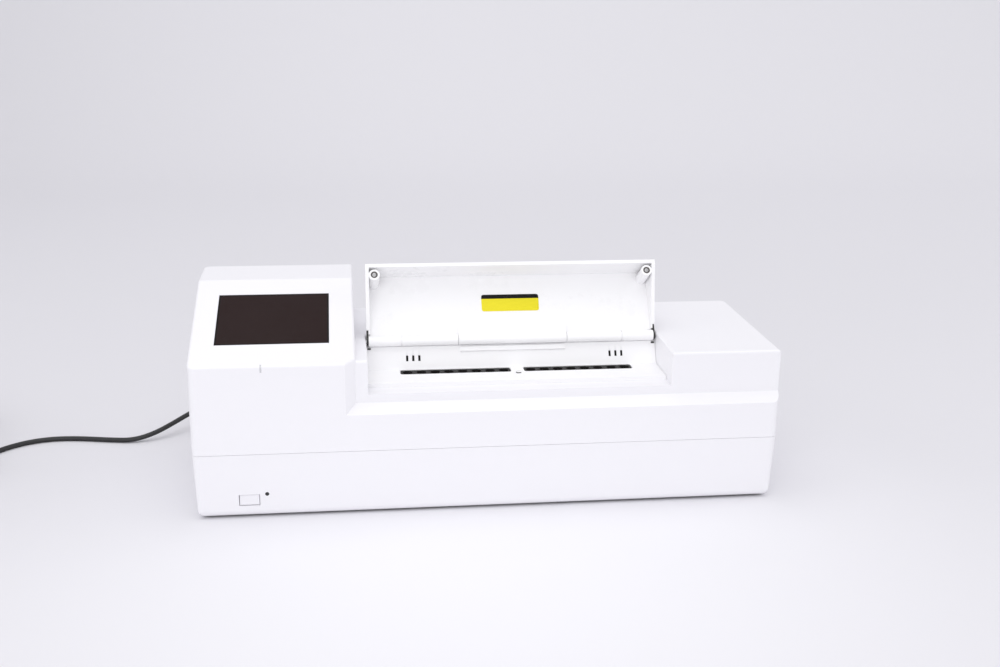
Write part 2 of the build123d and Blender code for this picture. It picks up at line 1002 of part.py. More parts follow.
def hinge_arms():
    arms = []
    for side, end in ((-1, lid_left), (1, lid_right)):
        x0 = min(end, end - side * arm_thickness)
        x1 = x0 + arm_thickness
        disc = rod_x(x0, x1, hinge_y, hinge_height, arm_eye_radius)
        leaf = block(x0, x1, hinge_y - arm_length, hinge_y, hinge_height - 1.8, lid_top - 0.6)
        bore = rod_x(x0 - 1, x1 + 1, hinge_y, hinge_height, hinge_pin_radius + running_clearance)
        arms.append(disc + leaf - bore)
    return group(arms)


def hinge_pins():
    pins = []
    for side, edge in ((-1, recess_left), (1, recess_right)):
        outer = edge + side * wall
        inner = edge - side * (lid_side_gap + arm_thickness + hinge_pin_reach)
        pins.append(rod_x(min(inner, outer), max(inner, outer), hinge_y, hinge_height, hinge_pin_radius))
    return group(pins)


# Touch screen

module_front = wall + gasket_thickness
module_back = module_front + module_thickness
circuit_back = module_back + circuit_thickness


def touch_panel():
    return screen_slab(screen_width, screen_height, screen_recess, module_front)


def display_gasket():
    hole_width = screen_width + 2 * screen_gap
    hole_height = screen_height + 2 * screen_gap
    sheet_width = max(module_width, hole_width + 2 * gasket_rim)
    sheet_height = max(module_height, hole_height + 2 * gasket_rim)
    sheet = screen_slab(sheet_width, sheet_height, wall, module_front)
    return sheet - screen_slab(hole_width, hole_height, wall - 1, module_front + 1)


def display_module():
    return screen_slab(module_width, module_height, module_front, module_back)


def display_board():
    board = screen_slab(module_width - 6, module_height - 8, module_back, circuit_back)
    chip = screen_plane * Pos(-12, 4, -circuit_back - 0.7) * Box(16, 12, 1.4)
    port_middle = Pos(ribbon_shift, -ribbon_port_drop, -(circuit_back + port_depth) / 2)
    port = screen_plane * port_middle * Box(ribbon_width + 2, ribbon_port_height, port_depth - circuit_back)
    return board + chip + port


def display_straps():
    """Two straps across the posts that press the board and the module forward."""
    straps = []
    half_x = module_width / 2 + display_post_side_gap
    inner = module_width / 2 - strap_reach
    outer = half_x + display_post_radius + strap_end
    depth = (circuit_back + display_post_depth) / 2
    for side in (-1, 1):
        plate_place = Pos(side * (inner + outer) / 2, 0, -display_post_depth - bracket_thickness / 2)
        strap = plate_place * Box(outer - inner, module_height - 4, bracket_thickness)
        pad = Box(strap_pad_width, module_height - 14, display_post_depth - circuit_back)
        strap = strap + Pos(side * (inner + strap_pad_width / 2), 0, -depth) * pad
        for x, y in display_post_spots():
            strap = strap - Pos(x, y, -display_post_depth) * Cylinder(0.95, 4)
        straps.append(screen_plane * strap)
    return group(straps)


def display_screws():
    screws = []
    back = display_post_depth + bracket_thickness
    for x, y in display_post_spots():
        head = Pos(x, y, -back - 0.6) * Cylinder(1.9, 1.2)
        shank = Pos(x, y, -back + 2.5) * Cylinder(0.95, 5.0)
        screws.append(screen_plane * (head + shank))
    return group(screws)


def port_place():
    return (screen_plane * Pos(ribbon_shift, -ribbon_port_drop, -port_depth)).position


def display_ribbon():
    """A flat cable from the display board down to the main board."""
    start = port_place()
    y0, z0 = start.Y, start.Z
    y1 = y0 + ribbon_step_back
    z1 = board_height + circuit_thickness + connector_height
    half = ribbon_thickness / 2
    outline = [
        (y0 - half, z0 - 0.2),
        (y0 + half, z0 - 0.2),
        (y0 + half, z0 - ribbon_drop),
        (y1 + half, z1 + ribbon_rise),
        (y1 + half, z1),
        (y1 - half, z1),
        (y1 - half, z1 + ribbon_rise),
        (y0 - half, z0 - ribbon_drop),
    ]
    return side_prism(outline, start.X - ribbon_width / 2, start.X + ribbon_width / 2)


def light_bar(outside):
    return light_bar_block(0.02) & outside


# Button, its switch and the lamp

button_face_y = y_front + tray_inset(button_centre_height) + button_recess
button_flange_y = y_front + tray_inset(button_centre_height - button_height / 2) + wall + 0.4
button_stem_y = button_flange_y + button_flange + button_stem_length
switch_y = button_stem_y + button_travel + switch_gap


def power_button():
    x = x_left + button_centre_offset
    half_x = button_width / 2
    half_z = button_height / 2
    low = button_centre_height - half_z
    high = button_centre_height + half_z
    cap = block(x - half_x, x + half_x, button_face_y, button_flange_y + button_flange, low, high)
    cap = fillet(cap.faces().sort_by(Axis.Y)[0].edges(), button_edge_radius)
    flange = block(
        x - half_x - button_flange,
        x + half_x + button_flange,
        button_flange_y,
        button_flange_y + button_flange,
        low - button_flange,
        high + button_flange,
    )
    stem = rod_y(x, button_flange_y, button_stem_y, button_centre_height, button_stem_radius)
    return cap + flange + stem


def button_board():
    x = x_left + button_centre_offset
    lamp_x = x_left + lamp_offset
    back = switch_y + 6.0
    board = block(x - 14, lamp_x + 6, back - circuit_thickness, back, tray_floor, lamp_height + 8)
    body = block(
        x - 3, x + 3, switch_y + 1, back - 1, button_centre_height - 3, button_centre_height + 3
    )
    plunger = rod_y(x, switch_y, switch_y + 2, button_centre_height, button_stem_radius)
    lamp = block(lamp_x - 1.6, lamp_x + 1.6, switch_y + 2, back - 1, lamp_height - 1.2, lamp_height + 1.2)
    return board + body + plunger + lamp


def lamp_lens():
    start = y_front + tray_inset(lamp_height) + 0.2
    return rod_y(x_left + lamp_offset, start, switch_y + 2, lamp_height, lamp_radius)


# Heated blocks

def well_x(side, index):
    return bank_centre + side * bank_shift + (index - (well_count - 1) / 2) * well_pitch


def heater_block(side):
    """A heated block whose ridge fills the deck's slot, with a tapered well for each tube."""
    x = bank_centre + side * bank_shift
    half = block_length / 2
    body = block(x - half, x + half, block_front_y, block_back_y, block_bottom, block_top)
    ridge = RectangleRounded(
        slot_length - 2 * ridge_gap, slot_width - 2 * ridge_gap, slot_corner_radius - ridge_gap
    )
    body = body + extrude(Pos(x, slot_centre_y, block_top - 1) * ridge, amount=well_top - block_top + 1)
    for index in range(well_count):
        centre = Pos(well_x(side, index), slot_centre_y, well_top - well_depth / 2)
        body = body - centre * Cone(well_tip_radius, well_top_radius, well_depth)
        body = body - rod_y(
            well_x(side, index), slot_centre_y, block_back_y + 1, read_height, read_hole_radius
        )
    return body


def bank_slabs(margin, y0, y1, z0, z1):
    half = block_length / 2 - margin
    slabs = []
    for side in (-1, 1):
        x = bank_centre + side * bank_shift
        slabs.append(block(x - half, x + half, y0, y1, z0, z1))
    return group(slabs)


def heater_mats():
    return bank_slabs(
        heater_margin,
        block_front_y - heater_thickness,
        block_front_y,
        block_bottom + heater_margin,
        block_top - heater_margin,
    )


carrier_front_y = block_front_y - heater_thickness - pad_thickness
carrier_left = bank_centre - bank_shift - block_length / 2 - carrier_wall
carrier_right = bank_centre + bank_shift + block_length / 2 + carrier_wall
carrier_bottom = block_bottom - carrier_floor_thickness


def insulation_pads():
    return bank_slabs(
        0, carrier_front_y, carrier_front_y + pad_thickness, block_bottom, block_top - heater_margin
    )


def block_sensors():
    sensors = []
    for side in (-1, 1):
        x = bank_centre + side * bank_shift
        sensors.append(
            block(
                x - sensor_length / 2,
                x + sensor_length / 2,
                slot_centre_y - sensor_width / 2,
                slot_centre_y + sensor_width / 2,
                block_bottom - sensor_thickness,
                block_bottom,
            )
        )
    return group(sensors)


def block_carrier():
    outer_front = carrier_front_y - carrier_wall
    rim = block_bottom + carrier_rim
    tub = block(carrier_left, carrier_right, outer_front, block_back_y, carrier_bottom, rim)
    tub = tub - block(
        carrier_left + carrier_wall,
        carrier_right - carrier_wall,
        carrier_front_y,
        block_back_y + 1,
        block_bottom,
        rim + 1,
    )
    for side in (-1, 1):
        x = bank_centre + side * bank_shift
        tub = tub - block(
            x - 2 * sensor_length,
            x + 2 * sensor_length,
            slot_centre_y - sensor_width,
            slot_centre_y + sensor_width,
            carrier_bottom - 1,
            block_bottom + 1,
        )
    return tub


def carrier_legs():
    legs = []
    outer_front = carrier_front_y - carrier_wall
    for x in (carrier_left, carrier_right - carrier_foot_width):
        legs.append(
            block(
                x,
                x + carrier_foot_width,
                outer_front,
                outer_front + carrier_foot_depth,
                tray_floor,
                carrier_bottom,
            )
        )
    return group(legs)


# Scanning optics

rail_y = block_back_y + rail_set_back
rail_top = rail_base_height + rail_height
scan_home = well_x(-1, 0) - home_distance
scan_travel = well_x(1, well_count - 1) - scan_home
belt_y = rail_y + rail_width / 2 + belt_set_back
pulley_z = rail_top + 4.0
belt_radius = pulley_radius + belt_slack
idler_x = scan_home - carriage_length / 2 - pulley_radius - pulley_clearance
motor_x = scan_home + scan_travel + carriage_length / 2 + pulley_radius + pulley_clearance
beam_left = idler_x - 12
beam_right = motor_x - 6
pulley_front_y = belt_y - pulley_width / 2
pulley_back_y = belt_y + pulley_width / 2
motor_plate_y = pulley_back_y + motor_plate_gap
wire_bus_y = y_back - 2 * screw_inset
lens_front_y = block_back_y + lens_gap
lens_back_y = lens_front_y + 11.5
head_front_y = lens_front_y + 8.0
head_top = read_height + 5.5


def rail_beam():
    y0 = rail_y - beam_width / 2
    y1 = rail_y + beam_width / 2
    return block(beam_left, beam_right, y0, y1, rail_base_height - beam_thickness, rail_base_height)


def rail_legs():
    legs = []
    y0 = rail_y - beam_width / 2
    y1 = rail_y + beam_width / 2
    for x in (beam_left, beam_right - beam_leg_width):
        legs.append(
            block(x, x + beam_leg_width, y0, y1, tray_floor, rail_base_height - beam_thickness)
        )
    return group(legs)


def optics_rail():
    x0 = idler_x - 4
    x1 = motor_x - 8
    half = rail_width / 2
    rail = block(x0, x1, rail_y - half, rail_y + half, rail_base_height, rail_top)
    for side in (-1, 1):
        rail = rail - rod_x(
            x0 - 1, x1 + 1, rail_y + side * half, rail_base_height + rail_height / 2, rail_groove_radius
        )
    return rail


def belt_clamp():
    """A jaw round the upper run of the belt, open at the back."""
    x0 = scan_home - jaw_width / 2
    x1 = scan_home + jaw_width / 2
    y0 = rail_y + carriage_half_width - 1
    y1 = belt_y + belt_width / 2 + 2
    belt_low = pulley_z + belt_radius
    clamp = block(x0, x1, y0, y1, rail_top + 2.5, belt_low + belt_thickness + 4)
    return clamp - block(
        x0 - 1,
        x1 + 1,
        belt_y - belt_width / 2 - jaw_gap,
        y1 + 1,
        belt_low - jaw_gap,
        belt_low + belt_thickness + jaw_gap,
    )


def optics_carriage():
    x0 = scan_home - carriage_length / 2
    x1 = scan_home + carriage_length / 2
    saddle = block(
        x0, x1, rail_y - carriage_half_width, rail_y + carriage_half_width, rail_base_height + 2, rail_top + 4
    )
    half = rail_width / 2 + running_clearance
    saddle = saddle - block(
        x0 - 1, x1 + 1, rail_y - half, rail_y + half, rail_base_height, rail_top + running_clearance
    )
    head = block(x0, x1, head_front_y, rail_y - 3.5, rail_top + 1, head_top)
    head = head - block(
        x0 + carriage_wall,
        x1 - carriage_wall,
        head_front_y + carriage_wall,
        rail_y - 3.5 - carriage_wall,
        rail_top + 1 + carriage_wall,
        head_top + 1,
    )
    head = head - rod_y(scan_home, lens_front_y, lens_back_y, read_height, lens_radius)
    return saddle + head + belt_clamp()


def optics_lens():
    tube_body = rod_y(scan_home, lens_front_y, lens_back_y, read_height, lens_radius)
    return tube_body - rod_y(scan_home, lens_front_y - 1, lens_front_y + 1.5, read_height, lens_bore_radius)


def optics_board():
    half = carriage_length / 2 - 1
    return block(
        scan_home - half,
        scan_home + half,
        head_front_y,
        rail_y - 3.5,
        head_top,
        head_top + circuit_thickness,
    )


def belt_loop(radius, width):
    y0 = belt_y - width / 2
    y1 = belt_y + width / 2
    straight = block(idler_x, motor_x, y0, y1, pulley_z - radius, pulley_z + radius)
    return straight + rod_y(idler_x, y0, y1, pulley_z, radius) + rod_y(motor_x, y0, y1, pulley_z, radius)


def drive_belt():
    return belt_loop(belt_radius + belt_thickness, belt_width) - belt_loop(belt_radius, belt_width + 2)


def pulley(x):
    wheel = rod_y(x, pulley_front_y, pulley_back_y, pulley_z, pulley_radius)
    for index in range(pulley_teeth):
        angle = 2 * math.pi * index / pulley_teeth
        wheel = wheel - rod_y(
            x + pulley_radius * math.cos(angle),
            pulley_front_y - 1,
            pulley_back_y + 1,
            pulley_z + pulley_radius * math.sin(angle),
            0.5,
        )
    for y0 in (pulley_front_y - pulley_flange, pulley_back_y):
        wheel = wheel + rod_y(x, y0, y0 + pulley_flange, pulley_z, pulley_radius + pulley_flange)
    return wheel


def drive_pulley():
    shaft_end = motor_plate_y + motor_bore_depth - 2
    shaft = rod_y(motor_x, pulley_front_y - 2, shaft_end, pulley_z, shaft_radius)
    return pulley(motor_x) + shaft


def idler_pulley():
    bore = rod_y(
        idler_x, pulley_front_y - 3, pulley_back_y + 3, pulley_z, shaft_radius + running_clearance
    )
    return pulley(idler_x) - bore


def idler_bracket():
    y0 = pulley_back_y + pulley_flange + 1
    half = idler_plate_width / 2
    plate = block(idler_x - half, idler_x + half, y0, y0 + carrier_wall, tray_floor, pulley_z + half)
    axle = rod_y(idler_x, pulley_front_y - pulley_flange - 1, y0 + 1, pulley_z, shaft_radius)
    foot_end = y0 + idler_foot_length
    foot = block(idler_x - half, idler_x + half, y0, foot_end, tray_floor, tray_floor + carrier_wall)
    return plate + axle + foot


def stepper_motor():
    half = motor_side / 2
    y0 = motor_plate_y + plate_thickness
    back = fan_front_y - motor_fan_gap
    body = block(motor_x - half, motor_x + half, y0, back, pulley_z - half, pulley_z + half)
    body = chamfer(body.edges().filter_by(Axis.Y), 2.5)
    body = body + rod_y(motor_x, motor_plate_y + 0.5, y0 + 1, pulley_z, motor_boss_radius)
    top = pulley_z + half
    body = body + block(
        motor_x - motor_plug_width / 2,
        motor_x + motor_plug_width / 2,
        back - 1 - motor_plug_length,
        back - 1,
        top - 1,
        top + motor_plug_height,
    )
    bore_end = motor_plate_y + motor_bore_depth
    return body - rod_y(motor_x, motor_plate_y - 1, bore_end, pulley_z, shaft_radius + running_clearance)


def motor_bracket():
    half = motor_side / 2
    y0 = motor_plate_y
    plate = block(
        motor_x - half, motor_x + half, y0, y0 + plate_thickness, tray_floor, pulley_z + half
    )
    plate = plate - rod_y(motor_x, y0 - 1, y0 + plate_thickness + 1, pulley_z, motor_boss_radius)
    foot_end = wire_bus_y - bracket_foot_gap
    return plate + block(
        motor_x - half, motor_x + half, y0, foot_end, tray_floor, tray_floor + plate_thickness
    )


def home_sensor():
    x1 = scan_home - carriage_length / 2 - 1
    return block(
        x1 - 5,
        x1,
        rail_y - beam_width / 2,
        rail_y - rail_width / 2 - 0.5,
        rail_base_height,
        rail_top,
    )


# Electronics

board_left = x_left + board_inset
board_top = board_height + circuit_thickness
board_front = y_front + board_front_inset
board_back = y_back - board_back_inset
board_spots = [
    (board_left + dx, y) for dx in (5, board_width - 5) for y in (board_front + 5, board_back - 5)
]


def main_board():
    board = block(board_left, board_left + board_width, board_front, board_back, board_height, board_top)
    for x, y in board_spots:
        board = board - rod_z(x, y, board_height - 1, board_top + 1, screw_radius)
    return board


def board_part(x, width, inset, depth, height):
    """A part on the board, by its distances from the board's left and back edges."""
    back = board_back - inset
    return block(board_left + x, board_left + x + width, back - depth, back, board_top, board_top + height)


def board_parts():
    port = port_place()
    connector_y = port.Y + ribbon_step_back
    parts = [
        block(
            port.X - connector_width / 2,
            port.X + connector_width / 2,
            connector_y - connector_depth / 2,
            connector_y + connector_depth / 2,
            board_top,
            board_top + connector_height,
        ),
    ]
    parts.append(
        board_part(
            processor_from_left,
            processor_width,
            processor_from_back,
            processor_depth,
            processor_height,
        )
    )
    parts.append(board_part(driver_from_left, driver_width, driver_from_back, driver_depth, driver_height))
    parts.append(
        board_part(inductor_from_left, inductor_width, inductor_from_back, inductor_depth, inductor_height)
    )
    parts.append(
        board_part(
            board_socket_from_left,
            board_socket_width,
            board_socket_from_back,
            board_socket_depth,
            board_socket_height,
        )
    )
    for index in range(3):
        y = (board_front + board_back) / 2 - capacitor_shift + (index - 1) * capacitor_pitch
        x = board_left + capacitor_side_inset
        parts.append(rod_z(x, y, board_top, board_top + capacitor_height, capacitor_radius))
    return group(parts)


def board_standoffs():
    posts = []
    for x, y in board_spots:
        post = rod_z(x, y, tray_floor, board_height, standoff_radius)
        screw = rod_z(x, y, board_height, board_top, screw_radius)
        head = rod_z(x, y, board_top, board_top + 1.6, standoff_radius)
        posts.append(post + screw + head)
    return group(posts)


socket_x = x_left + socket_offset
socket_face_y = y_back - tray_inset(socket_height) - 0.3
socket_back_y = socket_face_y - socket_depth


def power_socket():
    body = rod_y(socket_x, socket_back_y, socket_face_y, socket_height, socket_radius - 0.1)
    nut_y = socket_face_y - wall - 0.2
    body = body + rod_y(socket_x, nut_y - 3, nut_y, socket_height, socket_radius + 2)
    body = body - rod_y(socket_x, socket_back_y + 1, socket_face_y + 1, socket_height, socket_bore_radius)
    return body + rod_y(socket_x, socket_back_y, socket_face_y - 1.5, socket_height, socket_pin_radius)


def wire(points, bend):
    path = FilletPolyline(*points, radius=bend)
    start = Plane(origin=path @ 0, z_dir=path % 0)
    return sweep(start * Circle(wire_radius), path=path)


def wire_harness():
    """Wires from the board's connector to the socket, the motor and the fan."""
    plug_top = board_top + board_socket_height
    plug_y = board_back - 5
    bus_y = wire_bus_y
    motor_wire_x = min(motor_x, fan_x - fan_side / 2 - motor_wire_gap)
    bus_z = tray_floor + wire_radius + 0.3
    left = board_left
    fan_wire_x = x_right - fan_inset + 12
    fan_under = fan_height - fan_side / 2
    fan_mid_y = y_back - wall - fan_thickness / 2
    motor_back_y = fan_front_y - motor_fan_gap
    socket_wire = [
        (socket_x, socket_back_y, socket_height),
        (socket_x, socket_back_y - 8, socket_height),
        (left + 26, plug_y, socket_height),
        (left + 26, plug_y, plug_top),
    ]
    motor_wire = [
        (left + 34, plug_y, plug_top),
        (left + 34, plug_y, plug_top + 8),
        (left + 84, bus_y + 4, plug_top + 8),
        (left + 84, bus_y + 4, bus_z),
        (motor_x - 22, bus_y + 4, bus_z),
        (motor_wire_x, motor_back_y + 4, bus_z),
        (motor_wire_x, motor_back_y + 4, pulley_z),
        (motor_wire_x, motor_back_y, pulley_z),
    ]
    fan_wire = [
        (left + 42, plug_y, plug_top),
        (left + 42, plug_y, plug_top + 4),
        (left + 78, bus_y, plug_top + 4),
        (left + 78, bus_y, bus_z),
        (fan_wire_x, bus_y, bus_z),
        (fan_wire_x, fan_mid_y, fan_under - 6),
        (fan_wire_x, fan_mid_y, fan_under),
    ]
    return group([wire(socket_wire, 1.4), wire(motor_wire, 1.4), wire(fan_wire, 1.4)])


# Fan

fan_x = x_right - fan_inset
fan_back_y = y_back - wall
fan_front_y = fan_back_y - fan_thickness
fan_hub_depth = 1.6


def fan_frame():
    half = fan_side / 2
    frame = block(fan_x - half, fan_x + half, fan_front_y, fan_back_y, fan_height - half, fan_height + half)
    frame = fillet(frame.edges().filter_by(Axis.Y), 3)
    frame = frame - rod_y(fan_x, fan_front_y - 1, fan_back_y + 1, fan_height, half - fan_rim)
    hub_y = fan_back_y - fan_hub_depth
    frame = frame + rod_y(fan_x, hub_y, fan_back_y, fan_height, fan_hub_radius)
    centre = Pos(fan_x, (hub_y + fan_back_y) / 2, fan_height)
    for index in range(4):
        bar = Pos(half / 2 + 4, 0, 0) * Box(half - 2, fan_hub_depth, 1.8)
        frame = frame + centre * Rot(0, 45 + 90 * index, 0) * bar
    frame = frame + rod_y(fan_x, fan_front_y + 3, fan_back_y, fan_height, screw_radius)
    for x, z in fan_hole_spots():
        frame = frame - rod_y(x, fan_front_y - 1, fan_back_y + 1, z, screw_radius)
    return frame


def fan_rotor():
    low = fan_front_y + 0.8
    high = fan_back_y - fan_hub_depth - 0.5
    reach = fan_side / 2 - fan_rim - fan_tip_gap
    hub = fan_hub_radius - 1
    rotor = rod_y(fan_x, low, high, fan_height, hub)
    centre = Pos(fan_x, (low + high) / 2, fan_height)
    for index in range(fan_blade_count):
        blade = Pos((hub + reach) / 2, 0, 0) * Rot(35, 0, 0) * Box(reach - hub + 2, 1.0, 6.0)
        rotor = rotor + centre * Rot(0, index * 360 / fan_blade_count, 0) * blade
    rotor = rotor & rod_y(fan_x, low, high, fan_height, reach)
    return rotor - rod_y(
        fan_x, fan_front_y + 2.6, high + 1, fan_height, screw_radius + running_clearance
    )


def fan_screws():
    screws = []
    for x, z in fan_hole_spots():
        head = rod_y(x, fan_front_y - 1.8, fan_front_y, z, 2.6)
        screws.append(head + rod_y(x, fan_front_y, y_back - 0.6, z, screw_radius))
    return group(screws)


# Power lead

plug_y = socket_face_y + plug_length
lead_start_y = plug_y + plug_relief_length
coil_start = (coil_centre_x + coil_outer_radius, coil_centre_y + 2 * lead_radius, lead_radius)
coil_end_x = coil_centre_x - coil_outer_radius
coil_end_y = coil_centre_y + 2 * lead_radius
coil_end_z = lead_radius + (coil_layers - 1) * coil_layer_height
supply_y = coil_end_y + supply_relief_length


def cone_y(x, y0, y1, z, radius0, radius1):
    cone = Cone(radius0, radius1, y1 - y0)
    return Pos(x, (y0 + y1) / 2, z) * Rot(-90, 0, 0) * cone


def plug_barrel():
    barrel = rod_y(socket_x, socket_back_y + 2.5, socket_face_y, socket_height, socket_bore_radius - 0.15)
    return barrel - rod_y(
        socket_x, socket_back_y + 1, socket_face_y + 1, socket_height, socket_pin_radius + 0.1
    )


def plug_grip():
    grip = rod_y(socket_x, socket_face_y, plug_y, socket_height, plug_radius)
    grip = fillet(grip.edges().filter_by(GeomType.CIRCLE), 0.8)
    relief = cone_y(socket_x, plug_y - 1, lead_start_y, socket_height, plug_relief_radius, lead_radius + 0.35)
    return grip + relief


def tube(path):
    start = Plane(origin=path @ 0, z_dir=path % 0)
    return sweep(start * Circle(lead_radius), path=path)


def lead_path():
    points = [(socket_x, lead_start_y, socket_height), (socket_x, lead_start_y + 11.5, socket_height)]
    points += lead_points + [coil_start]
    radii = []
    for a, b, c in zip(points, points[1:], points[2:]):
        run_in = Vector(*b) - Vector(*a)
        run_out = Vector(*c) - Vector(*b)
        turn = math.radians(run_in.get_angle(run_out))
        shorter = min(run_in.length, run_out.length)
        radii.append(0.45 * shorter / math.tan(turn / 2))
    print("lead radii", [round(radius, 1) for radius in radii])
    return FilletPolyline(*points, radius=radii)


def power_cord():
    path = lead_path()
    solid = tube(path)
    ratio = solid.volume / (math.pi * lead_radius**2 * path.length)
    print("lead length", round(path.length, 1), "volume ratio", round(ratio, 5))
    return solid


def coil_stations():
    """Radius and height of the coil at every half turn: in, climb, out, climb, in, climb, out."""
    radius = coil_outer_radius
    height = lead_radius
    stations = [(radius, height)]
    for layer in range(coil_layers):
        inward = -1 if layer % 2 == 0 else 1
        for _ in range(coil_half_turns_in_layer):
            radius += inward * coil_step
            stations.append((radius, height))
        if layer < coil_layers - 1:
            height += coil_layer_height
            stations.append((radius, height))
    return stations


def coil_path():
    stations = coil_stations()
    arcs = [Line(coil_start, (coil_start[0], coil_centre_y, coil_start[2]))]
    side = 1
    for (r0, z0), (r1, z1) in zip(stations, stations[1:]):
        p0 = Vector(coil_centre_x + side * r0, coil_centre_y, z0)
        p1 = Vector(coil_centre_x - side * r1, coil_centre_y, z1)
        tangent = Vector(0, -side, 0)
        chord = p1 - p0
        middle = p0 + chord * 0.5 + tangent * (chord.length / 2)
        arcs.append(TangentArc(p0, middle, tangent=tangent))
        arcs.append(TangentArc(middle, p1, tangent=chord.normalized()))
        side = -side
    end_radius, end_height = stations[-1]
    end = Vector(coil_centre_x + side * end_radius, coil_centre_y, end_height)
    arcs.append(Line(end, end + Vector(0, -side * 2 * lead_radius, 0)))
    return Wire([arc.edge() for arc in arcs])


def least_self_gap(path, section):
    """Least free distance between stretches of a path that aren't neighbours along it."""
    count = int(path.length / 1.5)
    points = [path @ (i / count) for i in range(count + 1)]
    step = path.length / count
    skip = int(3 * section / step)
    least = body_width
    for i in range(0, count + 1, 2):
        for j in range(i + skip, count + 1):
            least = min(least, (points[i] - points[j]).length)
    return least - section


def power_cord_coil():
    path = coil_path()
    solid = tube(path)
    ratio = solid.volume / (math.pi * lead_radius**2 * path.length)
    print("coil length", round(path.length, 1), "volume ratio", round(ratio, 5))
    print("coil least gap to itself", round(least_self_gap(path, 2 * lead_radius), 2))
    return solid


def supply_body():
    body = block(
        coil_end_x - supply_width / 2,
        coil_end_x + supply_width / 2,
        supply_y,
        supply_y + supply_length,
        0,
        supply_height,
    )
    body = fillet(body.edges(), supply_edge_radius)
    return body - supply_seam() - supply_panel()


def supply_seam():
    """The groove around the case where its two shells meet."""
    middle = supply_height / 2
    low = middle - supply_seam_width / 2
    band = block(
        coil_end_x - supply_width,
        coil_end_x + supply_width,
        supply_y - 1,
        supply_y + supply_length + 1,
        low,
        low + supply_seam_width,
    )
    core = RectangleRounded(
        supply_width - 2 * supply_seam_depth,
        supply_length - 2 * supply_seam_depth,
        supply_edge_radius - supply_seam_depth,
    )
    place = Pos(coil_end_x, supply_y + supply_length / 2, low - 1)
    return band - extrude(place * core, amount=supply_seam_width + 2)


def supply_panel():
    """A shallow plain panel in the top of the case."""
    place = Pos(coil_end_x, supply_y + supply_length / 2, supply_height - supply_panel_depth)
    outline = RectangleRounded(supply_panel_width, supply_panel_length, supply_panel_radius)
    return extrude(place * outline, amount=1)


def supply_relief():
    return cone_y(coil_end_x, coil_end_y, supply_y, coil_end_z, lead_radius + 0.35, supply_relief_radius)


def supply_blades():
    blades = []
    y0 = supply_y + supply_length
    for side in (-1, 1):
        x = coil_end_x + side * blade_spacing / 2
        blade = block(
            x - blade_thickness / 2,
            x + blade_thickness / 2,
            y0,
            y0 + blade_length,
            coil_end_z - blade_height / 2,
            coil_end_z + blade_height / 2,
        )
        hole_y = y0 + blade_length - blade_hole_inset
        hole = rod_x(x - blade_thickness, x + blade_thickness, hole_y, coil_end_z, blade_hole_radius)
        blades.append(blade - hole)
    return group(blades)


def pieces():
    outside = cover_outside()
    return {
        "base_tray": base_tray(),
        "upper_cover": upper_cover(outside),
        "cover_screws": cover_screws(),
        "rubber_feet": rubber_feet(),
        "well_deck": well_deck(),
        "deck_screw": deck_screw(),
        "catch_plates": catch_plates(),
        "lid_shell": opened(lid_shell()),
        "lid_hinge_cover": opened(lid_hinge_cover()),
        "lid_label": opened(lid_label()),
        "lid_magnets": opened(lid_magnets()),
        "hinge_arms": opened(hinge_arms()),
        "hinge_pins": hinge_pins(),
        "touch_panel": touch_panel(),
        "display_gasket": display_gasket(),
        "display_module": display_module(),
        "display_board": display_board(),
        "display_straps": display_straps(),
        "display_screws": display_screws(),
        "display_ribbon": display_ribbon(),
        "status_light_bar": light_bar(outside),
        "power_button": power_button(),
        "button_board": button_board(),
        "lamp_lens": lamp_lens(),
        "heater_block_left": heater_block(-1),
        "heater_block_right": heater_block(1),
        "heater_mats": heater_mats(),
        "block_sensors": block_sensors(),
        "insulation_pads": insulation_pads(),
        "block_carrier": block_carrier(),
        "carrier_legs": carrier_legs(),
        "rail_beam": rail_beam(),
        "rail_legs": rail_legs(),
        "optics_rail": optics_rail(),
        "optics_carriage": optics_carriage(),
        "optics_lens": optics_lens(),
        "optics_board": optics_board(),
        "drive_belt": drive_belt(),
        "drive_pulley": drive_pulley(),
        "idler_pulley": idler_pulley(),
        "idler_bracket": idler_bracket(),
        "stepper_motor": stepper_motor(),
        "motor_bracket": motor_bracket(),
        "home_sensor": home_sensor(),
        "main_board": main_board(),
        "board_parts": board_parts(),
        "board_standoffs": board_standoffs(),
        "power_socket": power_socket(),
        "wire_harness": wire_harness(),
        "fan_frame": fan_frame(),
        "fan_rotor": fan_rotor(),
        "fan_screws": fan_screws(),
        "plug_barrel": plug_barrel(),
        "plug_grip": plug_grip(),
        "power_cord": power_cord(),
        "power_cord_coil": power_cord_coil(),
        "supply_body": supply_body(),
        "supply_relief": supply_relief(),
        "supply_blades": supply_blades(),
    }


def main():
    os.makedirs("parts", exist_ok=True)
    for name, shape in pieces().items():
        export_step(shape, f"parts/{name}.step")
    print("hinge line", round(hinge_y, 3), round(hinge_height, 3), "middle", round(recess_centre, 3))
    print("scan travel", round(scan_travel, 3), "home", round(scan_home, 3))


main()
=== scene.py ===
# %% [markdown]
# # A bench-top diagnostic analyzer, dressed for its picture
# The solids of this analyzer were built beforehand, with every screw and joint in its place.
# This lesson gives them their finishes, adds the small things that solids are poor at, such as a power lead,
# a moulded plug, a sticker and cross-head screws, and sets up the light and the camera.
# Everything is in metres. X runs to the right, Y to the back and Z up, and the origin is on the table,
# under the middle of the housing.

# %% Load the solids
import math
import bmesh
import bpy
from mathutils import Matrix, Vector


